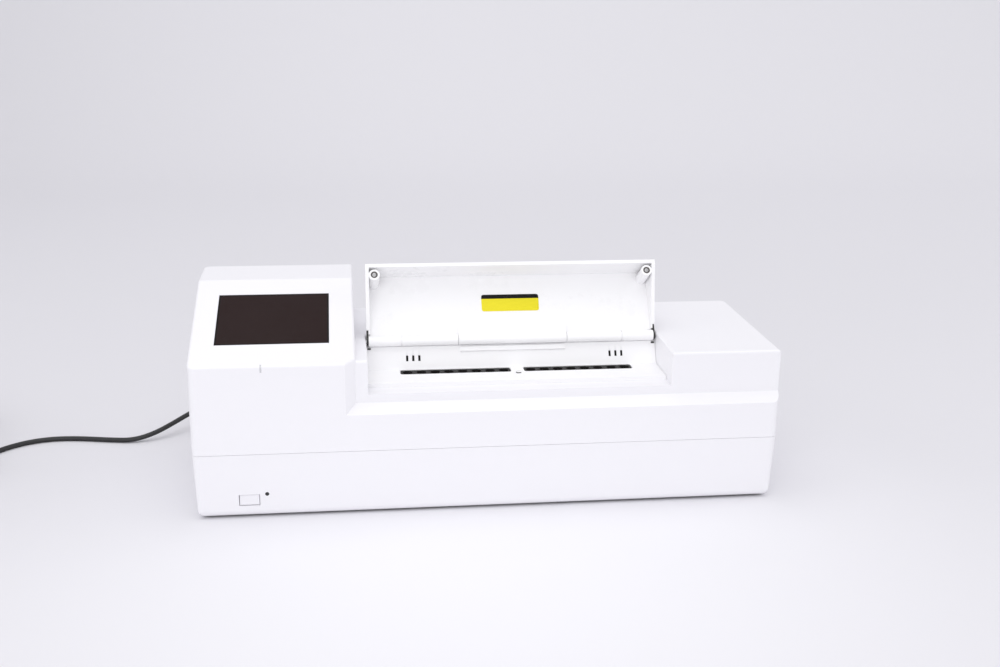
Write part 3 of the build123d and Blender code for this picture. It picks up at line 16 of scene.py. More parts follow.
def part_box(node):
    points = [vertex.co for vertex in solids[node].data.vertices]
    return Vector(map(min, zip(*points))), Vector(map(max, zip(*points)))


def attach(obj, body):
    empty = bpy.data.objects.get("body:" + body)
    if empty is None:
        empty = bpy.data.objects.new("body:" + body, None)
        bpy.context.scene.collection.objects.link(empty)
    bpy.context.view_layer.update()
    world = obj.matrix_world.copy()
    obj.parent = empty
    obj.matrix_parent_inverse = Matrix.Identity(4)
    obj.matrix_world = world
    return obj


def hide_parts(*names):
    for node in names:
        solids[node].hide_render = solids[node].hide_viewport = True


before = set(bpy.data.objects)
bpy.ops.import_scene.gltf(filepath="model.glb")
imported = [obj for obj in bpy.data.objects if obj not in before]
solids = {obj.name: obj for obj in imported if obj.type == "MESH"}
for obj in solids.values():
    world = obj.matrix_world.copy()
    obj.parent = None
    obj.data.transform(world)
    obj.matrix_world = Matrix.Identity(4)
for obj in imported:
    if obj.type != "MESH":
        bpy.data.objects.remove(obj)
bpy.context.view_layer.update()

# %% [markdown]
# ## The camera
# The place of the camera was worked out from edges of the housing whose sizes are known.
# A camera looks along its own -Z with +Y up, so its turning matrix has three columns:
# the direction to its right, the direction that is up in the picture, and the direction behind it.
# Yaw and pitch give the direction that it looks in, and roll then tips the right and up directions.

# %% Aim the camera
picture_width = 1000
focal_pixels = 1237.67
camera_place = Vector((-0.09169, -0.78959, 0.33788))
yaw, pitch, roll = (math.radians(angle) for angle in (7.48, 16.71, 0.83))

ahead = Vector((math.sin(yaw) * math.cos(pitch), math.cos(yaw) * math.cos(pitch), -math.sin(pitch)))
level_right = Vector((math.cos(yaw), -math.sin(yaw), 0))
level_up = level_right.cross(ahead)
right = level_right * math.cos(roll) + level_up * math.sin(roll)
up = level_up * math.cos(roll) - level_right * math.sin(roll)

camera_data = bpy.data.cameras.new("camera")
camera_data.sensor_width = 36
camera_data.lens = focal_pixels / picture_width * camera_data.sensor_width
camera_data.clip_start = 0.01
camera = bpy.data.objects.new("camera", camera_data)
camera.matrix_world = Matrix.Translation(camera_place) @ Matrix((right, up, -ahead)).transposed().to_4x4()
bpy.context.scene.collection.objects.link(camera)
bpy.context.scene.camera = camera
print("lens:", round(camera_data.lens, 2), "mm")

# %% [markdown]
# ## The power lead
# A thin lead leaves the back of the housing, drops to the table and runs out of the picture to the left.
# The rest of its length is wound into a small coil that ends in a plug-in supply.
# A lead is one smooth line, so it is a NURBS curve: a spline that a few listed points pull into shape.
# Order 3 keeps the line close to its points. The order and the open ends are set after the points are added,
# because the spline would otherwise fall back to straight runs.

# %% The lead's own sizes
lead_radius = 0.00175
plug_axis_x = -0.142
plug_axis_z = 0.030
lead_start = Vector((plug_axis_x, 0.09988, plug_axis_z))
lead_end_y = 0.0290
route = [
    tuple(lead_start),
    (plug_axis_x, 0.11138, plug_axis_z),
    (-0.1470, 0.1222, 0.0285),
    (-0.1585, 0.1286, 0.0254),
    (-0.1745, 0.1264, 0.0210),
    (-0.1915, 0.1144, 0.0166),
    (-0.2079, 0.0984, 0.0122),
    (-0.2203, 0.0862, 0.0084),
    (-0.2315, 0.0781, 0.0049),
    (-0.2455, 0.0740, 0.0021),
    (-0.2605, 0.0766, lead_radius),
    (-0.2840, 0.0819, lead_radius),
    (-0.3020, 0.0829, lead_radius),
    (-0.3168, 0.0789, lead_radius),
    (-0.3282, 0.0714, lead_radius),
    (-0.3373, 0.0618, lead_radius),
    (-0.3430, 0.0508, lead_radius),
    (-0.3456, 0.0396, lead_radius),
    (-0.3456, lead_end_y, lead_radius),
]
print("points on the loose part:", len(route))

# %% [markdown]
# The coil goes in and out in four layers, each a little higher than the last. Each layer has two turns, and
# half a turn more takes the lead up to the next. The stations hold the radius and the height that the lead
# has reached after each half turn.
# Twelve points stand around each turn. A spline of order 3 touches the lines between its points at their
# middles, so the points stand a little outside the circle that the lead follows.

# %% Wind the coil
coil_centre = Vector((-0.3711, 0.0255))
coil_radius = 0.0255
coil_step = 0.0024
layer_count = 4
layer_height = 0.0043
half_turns_in_layer = 4
points_in_half_turn = 6

stations = [(coil_radius, lead_radius)]
for layer in range(layer_count):
    inward = -1 if layer % 2 == 0 else 1
    for _ in range(half_turns_in_layer):
        stations.append((stations[-1][0] + inward * coil_step, stations[-1][1]))
    if layer < layer_count - 1:
        stations.append((stations[-1][0], stations[-1][1] + layer_height))

coil = []
for half_turn, (start, end) in enumerate(zip(stations, stations[1:])):
    for step in range(points_in_half_turn):
        share = (step + 0.5) / points_in_half_turn
        angle = -math.pi * (half_turn + share)
        radius = (start[0] + (end[0] - start[0]) * share) / math.cos(math.pi / (2 * points_in_half_turn))
        coil.append((
            coil_centre.x + radius * math.cos(angle),
            coil_centre.y + radius * math.sin(angle),
            start[1] + (end[1] - start[1]) * share,
        ))
coil_end = (coil_centre.x - coil_radius, lead_end_y, stations[-1][1])
coil += [(coil_end[0], coil_centre.y, coil_end[2]), coil_end]
print("points in the coil:", len(coil), "top layer at", round(coil_end[2] * 1000, 2), "mm")

# %% [markdown]
# Each point of a curve carries a radius, and the curve's thickness is that radius times the bevel depth.
# The lead's own radius goes on the points and the bevel depth stays 1, because the curve's box reaches out
# by the radius of its points.

# %% Make the lead
lead_curve = bpy.data.curves.new("power_lead", "CURVE")
lead_curve.dimensions = "3D"
lead_line = lead_curve.splines.new("NURBS")
lead_points = route + coil
lead_line.points.add(len(lead_points) - 1)
for point, place in zip(lead_line.points, lead_points):
    point.co = (*place, 1)
    point.radius = lead_radius
lead_line.order_u = 3
lead_line.use_endpoint_u = True
lead_curve.resolution_u = 6
lead_curve.bevel_depth = 1.0
lead_curve.bevel_resolution = 5
lead_curve.use_fill_caps = True
power_lead = bpy.data.objects.new("power_lead", lead_curve)
bpy.context.scene.collection.objects.link(power_lead)
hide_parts("power_cord", "power_cord_coil")
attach(power_lead, "housing")
print("lead:", len(lead_points), "points")

# %% [markdown]
# ## Tools for shapes
# Most of the small pieces are either turned on a lathe or stacked from outlines.
# A lathe spins a profile of distances and radii around an axis.
# Stacking joins copies of one outline, each a little smaller or further along, with strips of faces:
# that gives rounded edges, grooves and shallow panels without any cutting.
# Edges sharper than 35 degrees stay crisp and all others are shaded smooth.
# Each piece then rides on the body that it moves with; its finish is given further down.

# %% Turn a mesh into a piece
crisp_edge = math.radians(35)


def place_piece(name, mesh, body):
    mesh.shade_smooth()
    mesh.set_sharp_from_angle(angle=crisp_edge)
    piece = bpy.data.objects.new(name, mesh)
    bpy.context.scene.collection.objects.link(piece)
    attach(piece, body)
    print(name, len(mesh.vertices), "corners")
    return piece


def make_piece(name, corners, faces, body):
    mesh = bpy.data.meshes.new(name)
    mesh.from_pydata([tuple(corner) for corner in corners], [], faces)
    clean = bmesh.new()
    clean.from_mesh(mesh)
    bmesh.ops.remove_doubles(clean, verts=clean.verts, dist=1e-7)
    bmesh.ops.recalc_face_normals(clean, faces=clean.faces)
    clean.to_mesh(mesh)
    clean.free()
    return place_piece(name, mesh, body)


# %% Join rings of corners, and close the two ends
def joined_rings(rings):
    count = len(rings[0])
    corners = [corner for ring in rings for corner in ring]
    faces = []
    for level in range(len(rings) - 1):
        for i in range(count):
            j = (i + 1) % count
            low, high = level * count, (level + 1) * count
            faces.append((low + i, low + j, high + j, high + i))
    faces.append(tuple(range(count))[::-1])
    faces.append(tuple(range(len(corners) - count, len(corners))))
    return corners, faces


def joined_shapes(shapes):
    """Several shapes as one. The faces of each shape count on from the corners before it."""
    corners, faces = [], []
    for shape_corners, shape_faces in shapes:
        faces += [tuple(index + len(corners) for index in face) for face in shape_faces]
        corners += shape_corners
    return corners, faces


# %% A lathe
def turned(profile, centre, along, around=48):
    """The shape of a profile of (distance along, radius), spun about an axis through centre."""
    along = Vector(along).normalized()
    side = along.orthogonal().normalized()
    other = along.cross(side)
    rings = []
    for distance, radius in profile:
        middle = Vector(centre) + along * distance
        ring = []
        for i in range(around):
            angle = 2 * math.pi * i / around
            ring.append(middle + side * radius * math.cos(angle) + other * radius * math.sin(angle))
        rings.append(ring)
    return joined_rings(rings)


# %% A stack of rounded rectangles
def rounded_rectangle(half_width, half_height, radius, corner_steps=5):
    outline = []
    for quarter, (sx, sy) in enumerate(((1, 1), (-1, 1), (-1, -1), (1, -1))):
        for step in range(corner_steps + 1):
            angle = math.pi / 2 * (quarter + step / corner_steps)
            outline.append((
                sx * (half_width - radius) + radius * math.cos(angle),
                sy * (half_height - radius) + radius * math.sin(angle),
            ))
    return outline


least_radius = 0.00005


def stacked(half_width, half_height, radius, layers, centre, across, upward):
    """Copies of one rounded rectangle, joined. Each layer is (distance out, inset)."""
    across, upward = Vector(across), Vector(upward)
    outward = across.cross(upward)
    rings = []
    for distance, inset in layers:
        outline = rounded_rectangle(
            half_width - inset, half_height - inset, max(radius - inset, least_radius)
        )
        rings.append([Vector(centre) + across * x + upward * y + outward * distance for x, y in outline])
    return joined_rings(rings)


# %% [markdown]
# ## The plug at the back
# The lead ends in a small round plug. Its grip is a soft moulding with grooves for the fingers, and the
# tapered sleeve behind it is cut into segments, so that it bends in an even curve and the lead doesn't break
# at the plug. It is a turned shape, so its profile is a list of distances and radii.

# %% The moulded grip with its sleeve
grip_start_y = 0.06388
grip_radius = 0.0045
groove_radius = 0.0041
groove_pitch = 0.0022
segment_pitch = 0.0025
segment_radius = 0.0033
segment_taper = 0.00022

grip_profile = [(0.0, 0.0018), (0.0, 0.0038), (0.0007, grip_radius), (0.0050, grip_radius)]
for groove in range(5):
    start = 0.0054 + groove * groove_pitch
    grip_profile += [
        (start, grip_radius),
        (start + 0.0003, groove_radius),
        (start + 0.0010, groove_radius),
        (start + 0.0013, grip_radius),
    ]
grip_profile += [(0.0200, grip_radius), (0.0212, 0.0043), (0.0220, 0.0036), (0.0222, segment_radius)]
for segment in range(5):
    start = 0.0228 + segment * segment_pitch
    radius = segment_radius - segment * segment_taper
    grip_profile += [
        (start, radius),
        (start + 0.0002, radius - 0.0005),
        (start + 0.0007, radius - 0.0005),
        (start + 0.0009, radius - 0.00005),
    ]
grip_profile += [(0.0356, 0.00215), (0.0360, 0.0019), (0.0360, 0.0005)]
corners, faces = turned(grip_profile, (plug_axis_x, grip_start_y, plug_axis_z), (0, 1, 0))
plug_moulding = make_piece("plug_moulding", corners, faces, "housing")
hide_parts("plug_grip")

# %% [markdown]
# ## The sleeve at the supply
# The far end of the lead is a small supply that plugs into a wall outlet. The lead enters it through a longer
# tapered sleeve, cut into segments like the one at the plug and turned from a profile in the same way.

# %% The sleeve where the lead enters the supply
sleeve_segment_pitch = 0.0030
sleeve_tip_radius = 0.00215
sleeve_taper = 0.00019

sleeve_profile = [(0.0, 0.0019)]
for segment in range(8):
    start = 0.0006 + segment * sleeve_segment_pitch
    radius = sleeve_tip_radius + segment * sleeve_taper
    sleeve_profile += [
        (start, radius),
        (start + 0.0018, radius + 0.0001),
        (start + 0.0020, radius - 0.0004),
        (start + 0.0026, radius - 0.0004),
    ]
sleeve_profile += [(0.0250, 0.0033), (0.0270, 0.0035)]
corners, faces = turned(sleeve_profile, coil_end, (0, 1, 0))
supply_sleeve = make_piece("supply_sleeve", corners, faces, "housing")
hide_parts("supply_relief")

# %% [markdown]
# Now that the pieces on the lead exist, the place where the lead leaves its plug is printed.

print("the lead leaves its plug at", [round(value * 1000, 1) for value in lead_start], "mm")

# %% [markdown]
# ## The sticker inside the lid
# A small yellow sticker with a black band along its top is on the inside of the lid, above the hot wells.
# It is a thin plate with rounded corners. The open lid leans back, so the plate is laid along the lid's own
# directions.

# %% Directions on the open lid
sticker_low, sticker_high = (Vector(corner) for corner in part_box("lid_label"))
sticker_middle = (sticker_low + sticker_high) / 2
lid_lean = math.radians(33)
lid_up = Vector((0, math.sin(lid_lean), math.cos(lid_lean)))
lid_across = Vector((1, 0, 0))
lid_front = lid_across.cross(lid_up)
print("lid faces", [round(value, 3) for value in lid_front])

# %% The sticker
sticker_half_width = (sticker_high.x - sticker_low.x) / 2
sticker_half_height = 0.0058
sticker_corner_radius = 0.0015
corners, faces = stacked(
    sticker_half_width,
    sticker_half_height,
    sticker_corner_radius,
    [(-0.0001, 0), (0.00006, 0), (0.0001, 0.00006)],
    sticker_middle,
    lid_across,
    lid_up,
)
lid_sticker = make_piece("lid_sticker", corners, faces, "lid")
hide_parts("lid_label")

# %% [markdown]
# ## Screws
# The solids have plain round heads. A real head is slightly domed, with a cross cut into it.
# The cross is a hole in the top face: two loops of edges, one round and one a cross, are filled between,
# and a smaller cross lower down closes the hole.

# %% A cross-head screw
head_corners = 32


def cross_outline(arm, reach):
    """The twelve corners of a cross with arms of half width arm that reach out to reach."""
    return [
        (arm, arm), (arm, reach), (-arm, reach), (-arm, arm), (-reach, arm), (-reach, -arm),
        (-arm, -arm), (-arm, -reach), (arm, -reach), (arm, -arm), (reach, -arm), (reach, arm),
    ]


def add_cross_screw(shape, place, outward, head_radius, head_height, shank_length):
    """Adds one screw to a bmesh, with its head's seat at place."""
    side = outward.orthogonal().normalized()
    other = outward.cross(side)

    def at(x, y, z):
        return shape.verts.new(Vector(place) + side * x + other * y + outward * z)

    outline = [
        (head_radius * 0.45, -shank_length),
        (head_radius * 0.45, 0),
        (head_radius, 0),
        (head_radius, head_height * 0.5),
        (head_radius * 0.9, head_height * 0.85),
        (head_radius * 0.78, head_height),
    ]
    turns = [2 * math.pi * i / head_corners for i in range(head_corners)]
    rings = [[at(radius * math.cos(a), radius * math.sin(a), z) for a in turns] for radius, z in outline]
    for low, high in zip(rings, rings[1:]):
        for i in range(head_corners):
            j = (i + 1) % head_corners
            shape.faces.new((low[i], low[j], high[j], high[i]))
    shape.faces.new(rings[0])
    rim = [shape.edges.get((rings[-1][i], rings[-1][(i + 1) % head_corners])) for i in range(head_corners)]

    cross = cross_outline(head_radius * 0.14, head_radius * 0.62)
    cross_depth = head_height * 0.55
    top = [at(x, y, head_height) for x, y in cross]
    lower = [at(x * 0.7, y * 0.7, head_height - cross_depth) for x, y in cross]
    loop = [shape.edges.new((top[i], top[(i + 1) % len(cross)])) for i in range(len(cross))]
    bmesh.ops.triangle_fill(shape, use_beauty=True, edges=rim + loop)
    for i in range(len(cross)):
        j = (i + 1) % len(cross)
        shape.faces.new((top[i], top[j], lower[j], lower[i]))
    shape.faces.new(lower)


def cross_screws(name, places, outward, head_radius, head_height, shank_length, body="housing"):
    """Screws with their heads' seats at places, pointing outward, as one piece."""
    shape = bmesh.new()
    for place in places:
        add_cross_screw(shape, place, Vector(outward).normalized(), head_radius, head_height, shank_length)
    bmesh.ops.recalc_face_normals(shape, faces=shape.faces)
    mesh = bpy.data.meshes.new(name)
    shape.to_mesh(mesh)
    shape.free()
    return place_piece(name, mesh, body)


# %% The deck's screw, and the six in the base
deck_head_height = 0.0011
deck_screw_low, deck_screw_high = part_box("deck_screw")
deck_screw_place = (
    (deck_screw_low[0] + deck_screw_high[0]) / 2,
    (deck_screw_low[1] + deck_screw_high[1]) / 2,
    deck_screw_high[2] - deck_head_height,
)
deck_head = cross_screws(
    "deck_cross_screw",
    [deck_screw_place],
    outward=(0, 0, 1),
    head_radius=0.0017,
    head_height=deck_head_height,
    shank_length=0.004,
)
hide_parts("deck_screw")

base_head_seat_z = 0.0048
back_row_y, front_row_y = 0.05525, -0.05275
end_x, middle_x = 0.1775, 0.047
base_screw_places = [(x, back_row_y, base_head_seat_z) for x in (-end_x, -middle_x, middle_x, end_x)]
base_screw_places += [(x, front_row_y, base_head_seat_z) for x in (-end_x, end_x)]
base_heads = cross_screws(
    "base_cross_screws",
    base_screw_places,
    outward=(0, 0, -1),
    head_radius=0.0027,
    head_height=0.0026,
    shank_length=0.0150,
)
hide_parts("cover_screws")

# %% [markdown]
# ## The lid's magnets
# Each front corner of the lid has a small round magnet that holds the lid shut, with a screw in its middle.
# The magnet is turned: its profile goes up the rim, over a small bevel and down into the countersink.
# Both magnets are one piece, and both screws another.

# %% Magnets with a countersink, and their screws
magnet_low, magnet_high = (Vector(corner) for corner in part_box("lid_magnets"))
magnet_radius = 0.0023
magnet_profile = [
    (-0.0010, magnet_radius),
    (0.0008, magnet_radius),
    (0.0010, 0.0021),
    (0.0010, 0.0016),
    (0.0002, 0.0009),
]
magnet_centres = [
    Vector((x, (magnet_low.y + magnet_high.y) / 2, (magnet_low.z + magnet_high.z) / 2))
    for x in (magnet_low.x + magnet_radius, magnet_high.x - magnet_radius)
]
corners, faces = joined_shapes([turned(magnet_profile, centre, lid_front) for centre in magnet_centres])
magnet_rings = make_piece("magnet_rings", corners, faces, "lid")
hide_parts("lid_magnets")
seat_over_centre = 0.00035
cross_screws(
    "magnet_screws",
    [centre + lid_front * seat_over_centre for centre in magnet_centres],
    outward=lid_front,
    head_radius=0.00145,
    head_height=0.0006,
    shank_length=0.0004,
    body="lid",
)

# %% [markdown]
# ## Small things by the hinge
# Two black stop pads are let into the wall under the ends of the hinge, where the lid's arms come to rest.
# Each is a small rounded block, laid along the wall's own directions.
# Behind the three slits at each end of the wall is a near-black strip with a tongue in each slit. It is
# painted shade: it makes the slits look as dark as their depth.

# %% Hinge stop pads
across = Vector((1, 0, 0))
wall_up = Vector((0, 0.4706, 0.8824))
hinge_low, hinge_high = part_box("hinge_arms")
left_stop_x, right_stop_x = hinge_low[0] + 0.0015, hinge_high[0] - 0.0012
stop_y, stop_z = -0.0123, 0.0939
for side, x in (("left", left_stop_x), ("right", right_stop_x)):
    corners, faces = stacked(
        half_width=0.0011,
        half_height=0.00055,
        radius=0.0003,
        layers=[(-0.0008, 0), (0.0003, 0), (0.0005, 0.0002)],
        centre=(x, stop_y, stop_z),
        across=across,
        upward=wall_up,
    )
    make_piece(f"hinge_stop_{side}", corners, faces, "housing")

# %% Painted shade behind the slits: a near-black strip with a tongue in each
wall_in = Vector((0, 0.8824, -0.4706))
slit_place = Vector((0, -0.01529, 0.08789))
slit_pitch = 0.0040
strip_set_back = 0.00203
tongue_set_back = 0.0004
left_slits_x, right_slits_x = -0.0472, 0.0882
for side, x in (("left", left_slits_x), ("right", right_slits_x)):
    middle = slit_place + across * x
    strip = stacked(
        half_width=0.0064,
        half_height=0.0040,
        radius=0.0006,
        layers=[(-0.0014, 0), (-0.0002, 0), (0, 0.0003)],
        centre=middle + wall_in * strip_set_back,
        across=across,
        upward=wall_up,
    )
    tongues = [
        stacked(
            half_width=0.00070,
            half_height=0.0019,
            radius=0.0003,
            layers=[(-0.0014, 0), (-0.0002, 0), (0, 0.0002)],
            centre=middle + wall_in * tongue_set_back + across * shift,
            across=across,
            upward=wall_up,
        )
        for shift in (-slit_pitch, 0, slit_pitch)
    ]
    corners, faces = joined_shapes([strip] + tongues)
    make_piece(f"slit_shade_{side}", corners, faces, "housing")

# %% [markdown]
# ## Shader maths as plain sums
# A material is a small machine of nodes. Writing it node by node hides what it works out,
# so this class wraps one output of a node, and the usual signs add the Math node for a sum.
# The reflected forms let a plain number stand first, as in 0.9 - 0.1 * noise.
# Vectors go through a Vector Math node and colours are blended by a Mix node, because a Math node would turn
# either into a single number.

# %% A wire that can be added, multiplied and so on
class Wire:
    def __init__(self, finish, socket):
        self.finish = finish
        self.socket = socket

    def _sum(self, operation, first, second):
        kinds = [value.socket.type for value in (first, second) if isinstance(value, Wire)]
        kind = "ShaderNodeVectorMath" if "VECTOR" in kinds else "ShaderNodeMath"
        return self.finish.node(kind, {"operation": operation}, {0: first, 1: second})

    def __add__(self, other):
        return self._sum("ADD", self, other)

    def __radd__(self, other):
        return self._sum("ADD", other, self)

    def __sub__(self, other):
        return self._sum("SUBTRACT", self, other)

    def __rsub__(self, other):
        return self._sum("SUBTRACT", other, self)

    def __mul__(self, other):
        return self._sum("MULTIPLY", self, other)

    def __rmul__(self, other):
        return self._sum("MULTIPLY", other, self)

    def __gt__(self, other):
        return self._sum("GREATER_THAN", self, other)

    def __lt__(self, other):
        return self._sum("LESS_THAN", self, other)

    def size(self):
        return self.finish.node("ShaderNodeMath", {"operation": "ABSOLUTE"}, {0: self})


# %% A material under construction
class Finish:
    def __init__(self, name):
        self.material = bpy.data.materials.new(name)
        self.material.use_nodes = True
        self.tree = self.material.node_tree
        self.shader = self.tree.nodes["Principled BSDF"]
        print("finish:", name)

    def node(self, kind, settings=None, inputs=None, output=0):
        """Any node: its type, its settings, then numbers, colours or wires for its sockets."""
        made = self.tree.nodes.new(kind)
        for name, value in (settings or {}).items():
            setattr(made, name, value)
        for name, value in (inputs or {}).items():
            self.connect(made.inputs[name], value)
        return Wire(self, made.outputs[output])

    def connect(self, socket, value):
        if isinstance(value, Wire):
            self.tree.links.new(value.socket, socket)
        elif isinstance(value, (tuple, list)):
            socket.default_value = (*value, 1) if socket.type == "RGBA" and len(value) == 3 else value
        else:
            socket.default_value = value

    def set(self, **values):
        for name, value in values.items():
            self.connect(self.shader.inputs[name.replace("_", " ")], value)

    def place(self):
        """Where the shaded point is, in metres, in the piece's own space."""
        return self.node("ShaderNodeTexCoord", None, None, "Object")

    def noise(self, scale, detail=2.0, roughness=0.5):
        inputs = {"Vector": self.place(), "Scale": scale, "Detail": detail, "Roughness": roughness}
        return self.node("ShaderNodeTexNoise", None, inputs)

    def blend(self, mask, first, second):
        """The first colour where the mask is 0, and the second where it is 1.

        The Mix node has sockets of the same names for numbers, vectors and colours, so those for colours
        are given by their place: 6 and 7 go in and 2 comes out.
        """
        settings = {"data_type": "RGBA"}
        return self.node("ShaderNodeMix", settings, {"Factor": mask, 6: first, 7: second}, 2)

    def fade(self, value, start, end, first, last):
        """Goes smoothly from first, where the value is start or less, to last, where it is end or more."""
        return self.node(
            "ShaderNodeMapRange",
            {"interpolation_type": "SMOOTHSTEP"},
            {"Value": value, "From Min": start, "From Max": end, "To Min": first, "To Max": last},
        )

    def along(self, direction):
        """How far a point lies along a direction, in metres."""
        settings = {"operation": "DOT_PRODUCT"}
        return self.node("ShaderNodeVectorMath", settings, {0: self.place(), 1: tuple(direction)}, "Value")

    def bump(self, height, depth):
        normal = self.node("ShaderNodeBump", None, {"Height": height, "Distance": depth, "Strength": 1.0})
        self.set(Normal=normal)


# %% [markdown]
# ## White moulded plastic
# The housing and lid are glossy white plastic. Close up, such a moulding isn't perfectly even:
# it has a very slight waviness from the mould, a fine texture, and places that hands have dulled.
# Coarse noise shifts the colour by a percent or two, finer noise shifts the gloss, and a bump of about a
# hundredth of a millimetre breaks up the reflections. Two of these whites turn black below a set height, as
# painted shade: under the base, for the shadow in the narrow gap to the table, and in the deck screw's cross
# and round the foot of its head.

# %% White finishes
def white_plastic(name, colour, gloss, grain_depth, painted_shade_below=None):
    finish = Finish(name)
    cloud = finish.noise(9.0, 3.0)
    grain = finish.noise(2600.0, 2.0)
    smudge = finish.noise(38.0, 4.0, 0.6)
    darker = tuple(channel * 0.982 for channel in colour)
    shade = finish.blend(cloud, darker, colour)
    # Below the given height the white turns black, as painted shade.
    if painted_shade_below is not None:
        shade = finish.blend(finish.along((0, 0, 1)) < painted_shade_below, shade, (0.012, 0.012, 0.012))
    finish.set(Base_Color=shade)
    finish.set(Roughness=gloss + 0.10 * smudge + 0.03 * grain)
    finish.set(IOR=1.48)
    finish.bump(grain * 0.6 + smudge * 0.4, grain_depth)
    return finish.material


housing_colour = (0.900, 0.893, 0.925)
# Height below which the base is painted black: painted shadow under it, in the narrow gap to the table.
painted_shadow_top = 0.00135
# Height below which the deck screw is painted black: painted shade in its cross and round the foot of its
# head.
cross_shadow_top = deck_screw_place[2] + 0.00058
housing_white = white_plastic("housing_white", housing_colour, 0.24, 0.000012)
base_white = white_plastic("base_white", housing_colour, 0.24, 0.000012, painted_shadow_top)
# The lid's white is paler than the housing's: painted light that makes up for the shade inside the open lid.
lid_white = white_plastic("lid_white", (0.960, 0.957, 0.968), 0.22, 0.000010)
deck_white = white_plastic("deck_white", (0.945, 0.941, 0.955), 0.38, 0.000020)
screw_white = white_plastic("screw_white", (0.90, 0.90, 0.91), 0.35, 0.000008, cross_shadow_top)
button_white = white_plastic("button_white", (0.885, 0.878, 0.912), 0.30, 0.000008)

# %% [markdown]
# ## Dark plastics and rubber
# The lead, the plug and the feet are soft black rubber or plastic: dark, a little grey where dust sits in the
# texture, with a broad dull shine. One recipe with a few numbers covers them all, and the foam, the belt, the
# red wires and the painted shade in the slits too.

# %% Dark finishes
def dark_plastic(name, colour, gloss, grain_scale, grain_depth, dust=0.35):
    finish = Finish(name)
    grain = finish.noise(grain_scale, 3.0, 0.6)
    patches = finish.noise(60.0, 4.0, 0.6)
    lighter = tuple(channel + 0.02 * dust + channel * dust for channel in colour)
    finish.set(Base_Color=finish.blend(patches * grain * 1.4, colour, lighter))
    finish.set(Roughness=gloss + 0.16 * patches)
    finish.set(IOR=1.5)
    finish.bump(grain, grain_depth)
    return finish.material


lead_rubber = dark_plastic("lead_rubber", (0.012, 0.012, 0.013), 0.34, 1500.0, 0.00001)
grip_rubber = dark_plastic("grip_rubber", (0.014, 0.014, 0.015), 0.45, 2400.0, 0.00002)
supply_plastic = dark_plastic("supply_plastic", (0.016, 0.016, 0.017), 0.42, 1900.0, 0.00004)
foot_rubber = dark_plastic("foot_rubber", (0.020, 0.020, 0.020), 0.70, 1300.0, 0.00004, 0.8)
black_plastic = dark_plastic("black_plastic", (0.016, 0.016, 0.016), 0.40, 1800.0, 0.00002)
foam_black = dark_plastic("foam_black", (0.020, 0.019, 0.019), 0.85, 900.0, 0.0001, 0.6)
# Nearly black: painted shade for the depth of the slits by the hinge.
slit_shade_black = dark_plastic("slit_shade_black", (0.002, 0.002, 0.002), 0.90, 900.0, 0.00003, 0.1)
foam_grey = dark_plastic("foam_grey", (0.10, 0.10, 0.105), 0.85, 800.0, 0.0001, 0.8)
carrier_grey = dark_plastic("carrier_grey", (0.075, 0.075, 0.080), 0.55, 1500.0, 0.00003)
belt_rubber = dark_plastic("belt_rubber", (0.015, 0.015, 0.015), 0.65, 1600.0, 0.00003)
wire_skin = dark_plastic("wire_skin", (0.24, 0.018, 0.016), 0.40, 1400.0, 0.00001)
motor_black = dark_plastic("motor_black", (0.020, 0.020, 0.021), 0.38, 1200.0, 0.00002)

# %% [markdown]
# ## Metals
# Turned and rolled steel has fine scratches that run one way, so its noise is stretched: the place is
# multiplied by a vector that is large across the scratches and small along them.
# The heated blocks are black anodised aluminium: dark, with a soft sheen and little of a metal's shine.

# %% Metal finishes
def metal(name, colour, gloss, stretch, scratch_depth=0.000006, metallic=1.0):
    finish = Finish(name)
    stretched = finish.place() * stretch
    scratches = finish.node(
        "ShaderNodeTexNoise", None, {"Vector": stretched, "Scale": 1.0, "Detail": 4.0, "Roughness": 0.65}
    )
    tarnish = finish.noise(55.0, 3.0, 0.6)
    darker = tuple(channel * 0.78 for channel in colour)
    finish.set(Base_Color=finish.blend(tarnish, colour, darker))
    finish.set(Roughness=gloss + 0.18 * scratches)
    finish.set(Metallic=metallic)
    finish.bump(scratches, scratch_depth)
    return finish.material


steel = metal("steel", (0.60, 0.60, 0.61), 0.26, (900.0, 900.0, 120.0))
sheet_steel = metal("sheet_steel", (0.58, 0.59, 0.60), 0.32, (120.0, 1800.0, 1800.0))
aluminium = metal("aluminium", (0.76, 0.76, 0.77), 0.30, (1600.0, 200.0, 1600.0))
dark_block = metal("dark_block", (0.0055, 0.0038, 0.0036), 0.48, (1200.0, 300.0, 1200.0), 0.00001, 0.2)
contact_metal = metal("contact_metal", (0.78, 0.76, 0.71), 0.16, (400.0, 1800.0, 1800.0))
magnet_metal = metal("magnet_metal", (0.16, 0.145, 0.14), 0.34, (700.0, 700.0, 700.0))

# %% [markdown]
# ## The screen
# The switched-off screen is dark brown under clear glass, with a slightly darker border where the glass is
# printed black behind. The border is found by how far a point is from the screen's middle, measured along
# the screen's own two directions with dot products.

# %% Screen glass
screen_low, screen_high = (Vector(corner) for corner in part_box("touch_panel"))
screen_middle = (screen_low + screen_high) / 2
slope_rise, slope_depth = 0.032, 0.089
screen_lean = math.atan2(slope_rise, slope_depth)
screen_up = Vector((0, math.cos(screen_lean), math.sin(screen_lean)))
screen_width, screen_height, border = 0.0704, 0.0543, 0.0010
half_width = screen_width / 2 - border
half_height = screen_height / 2 - border

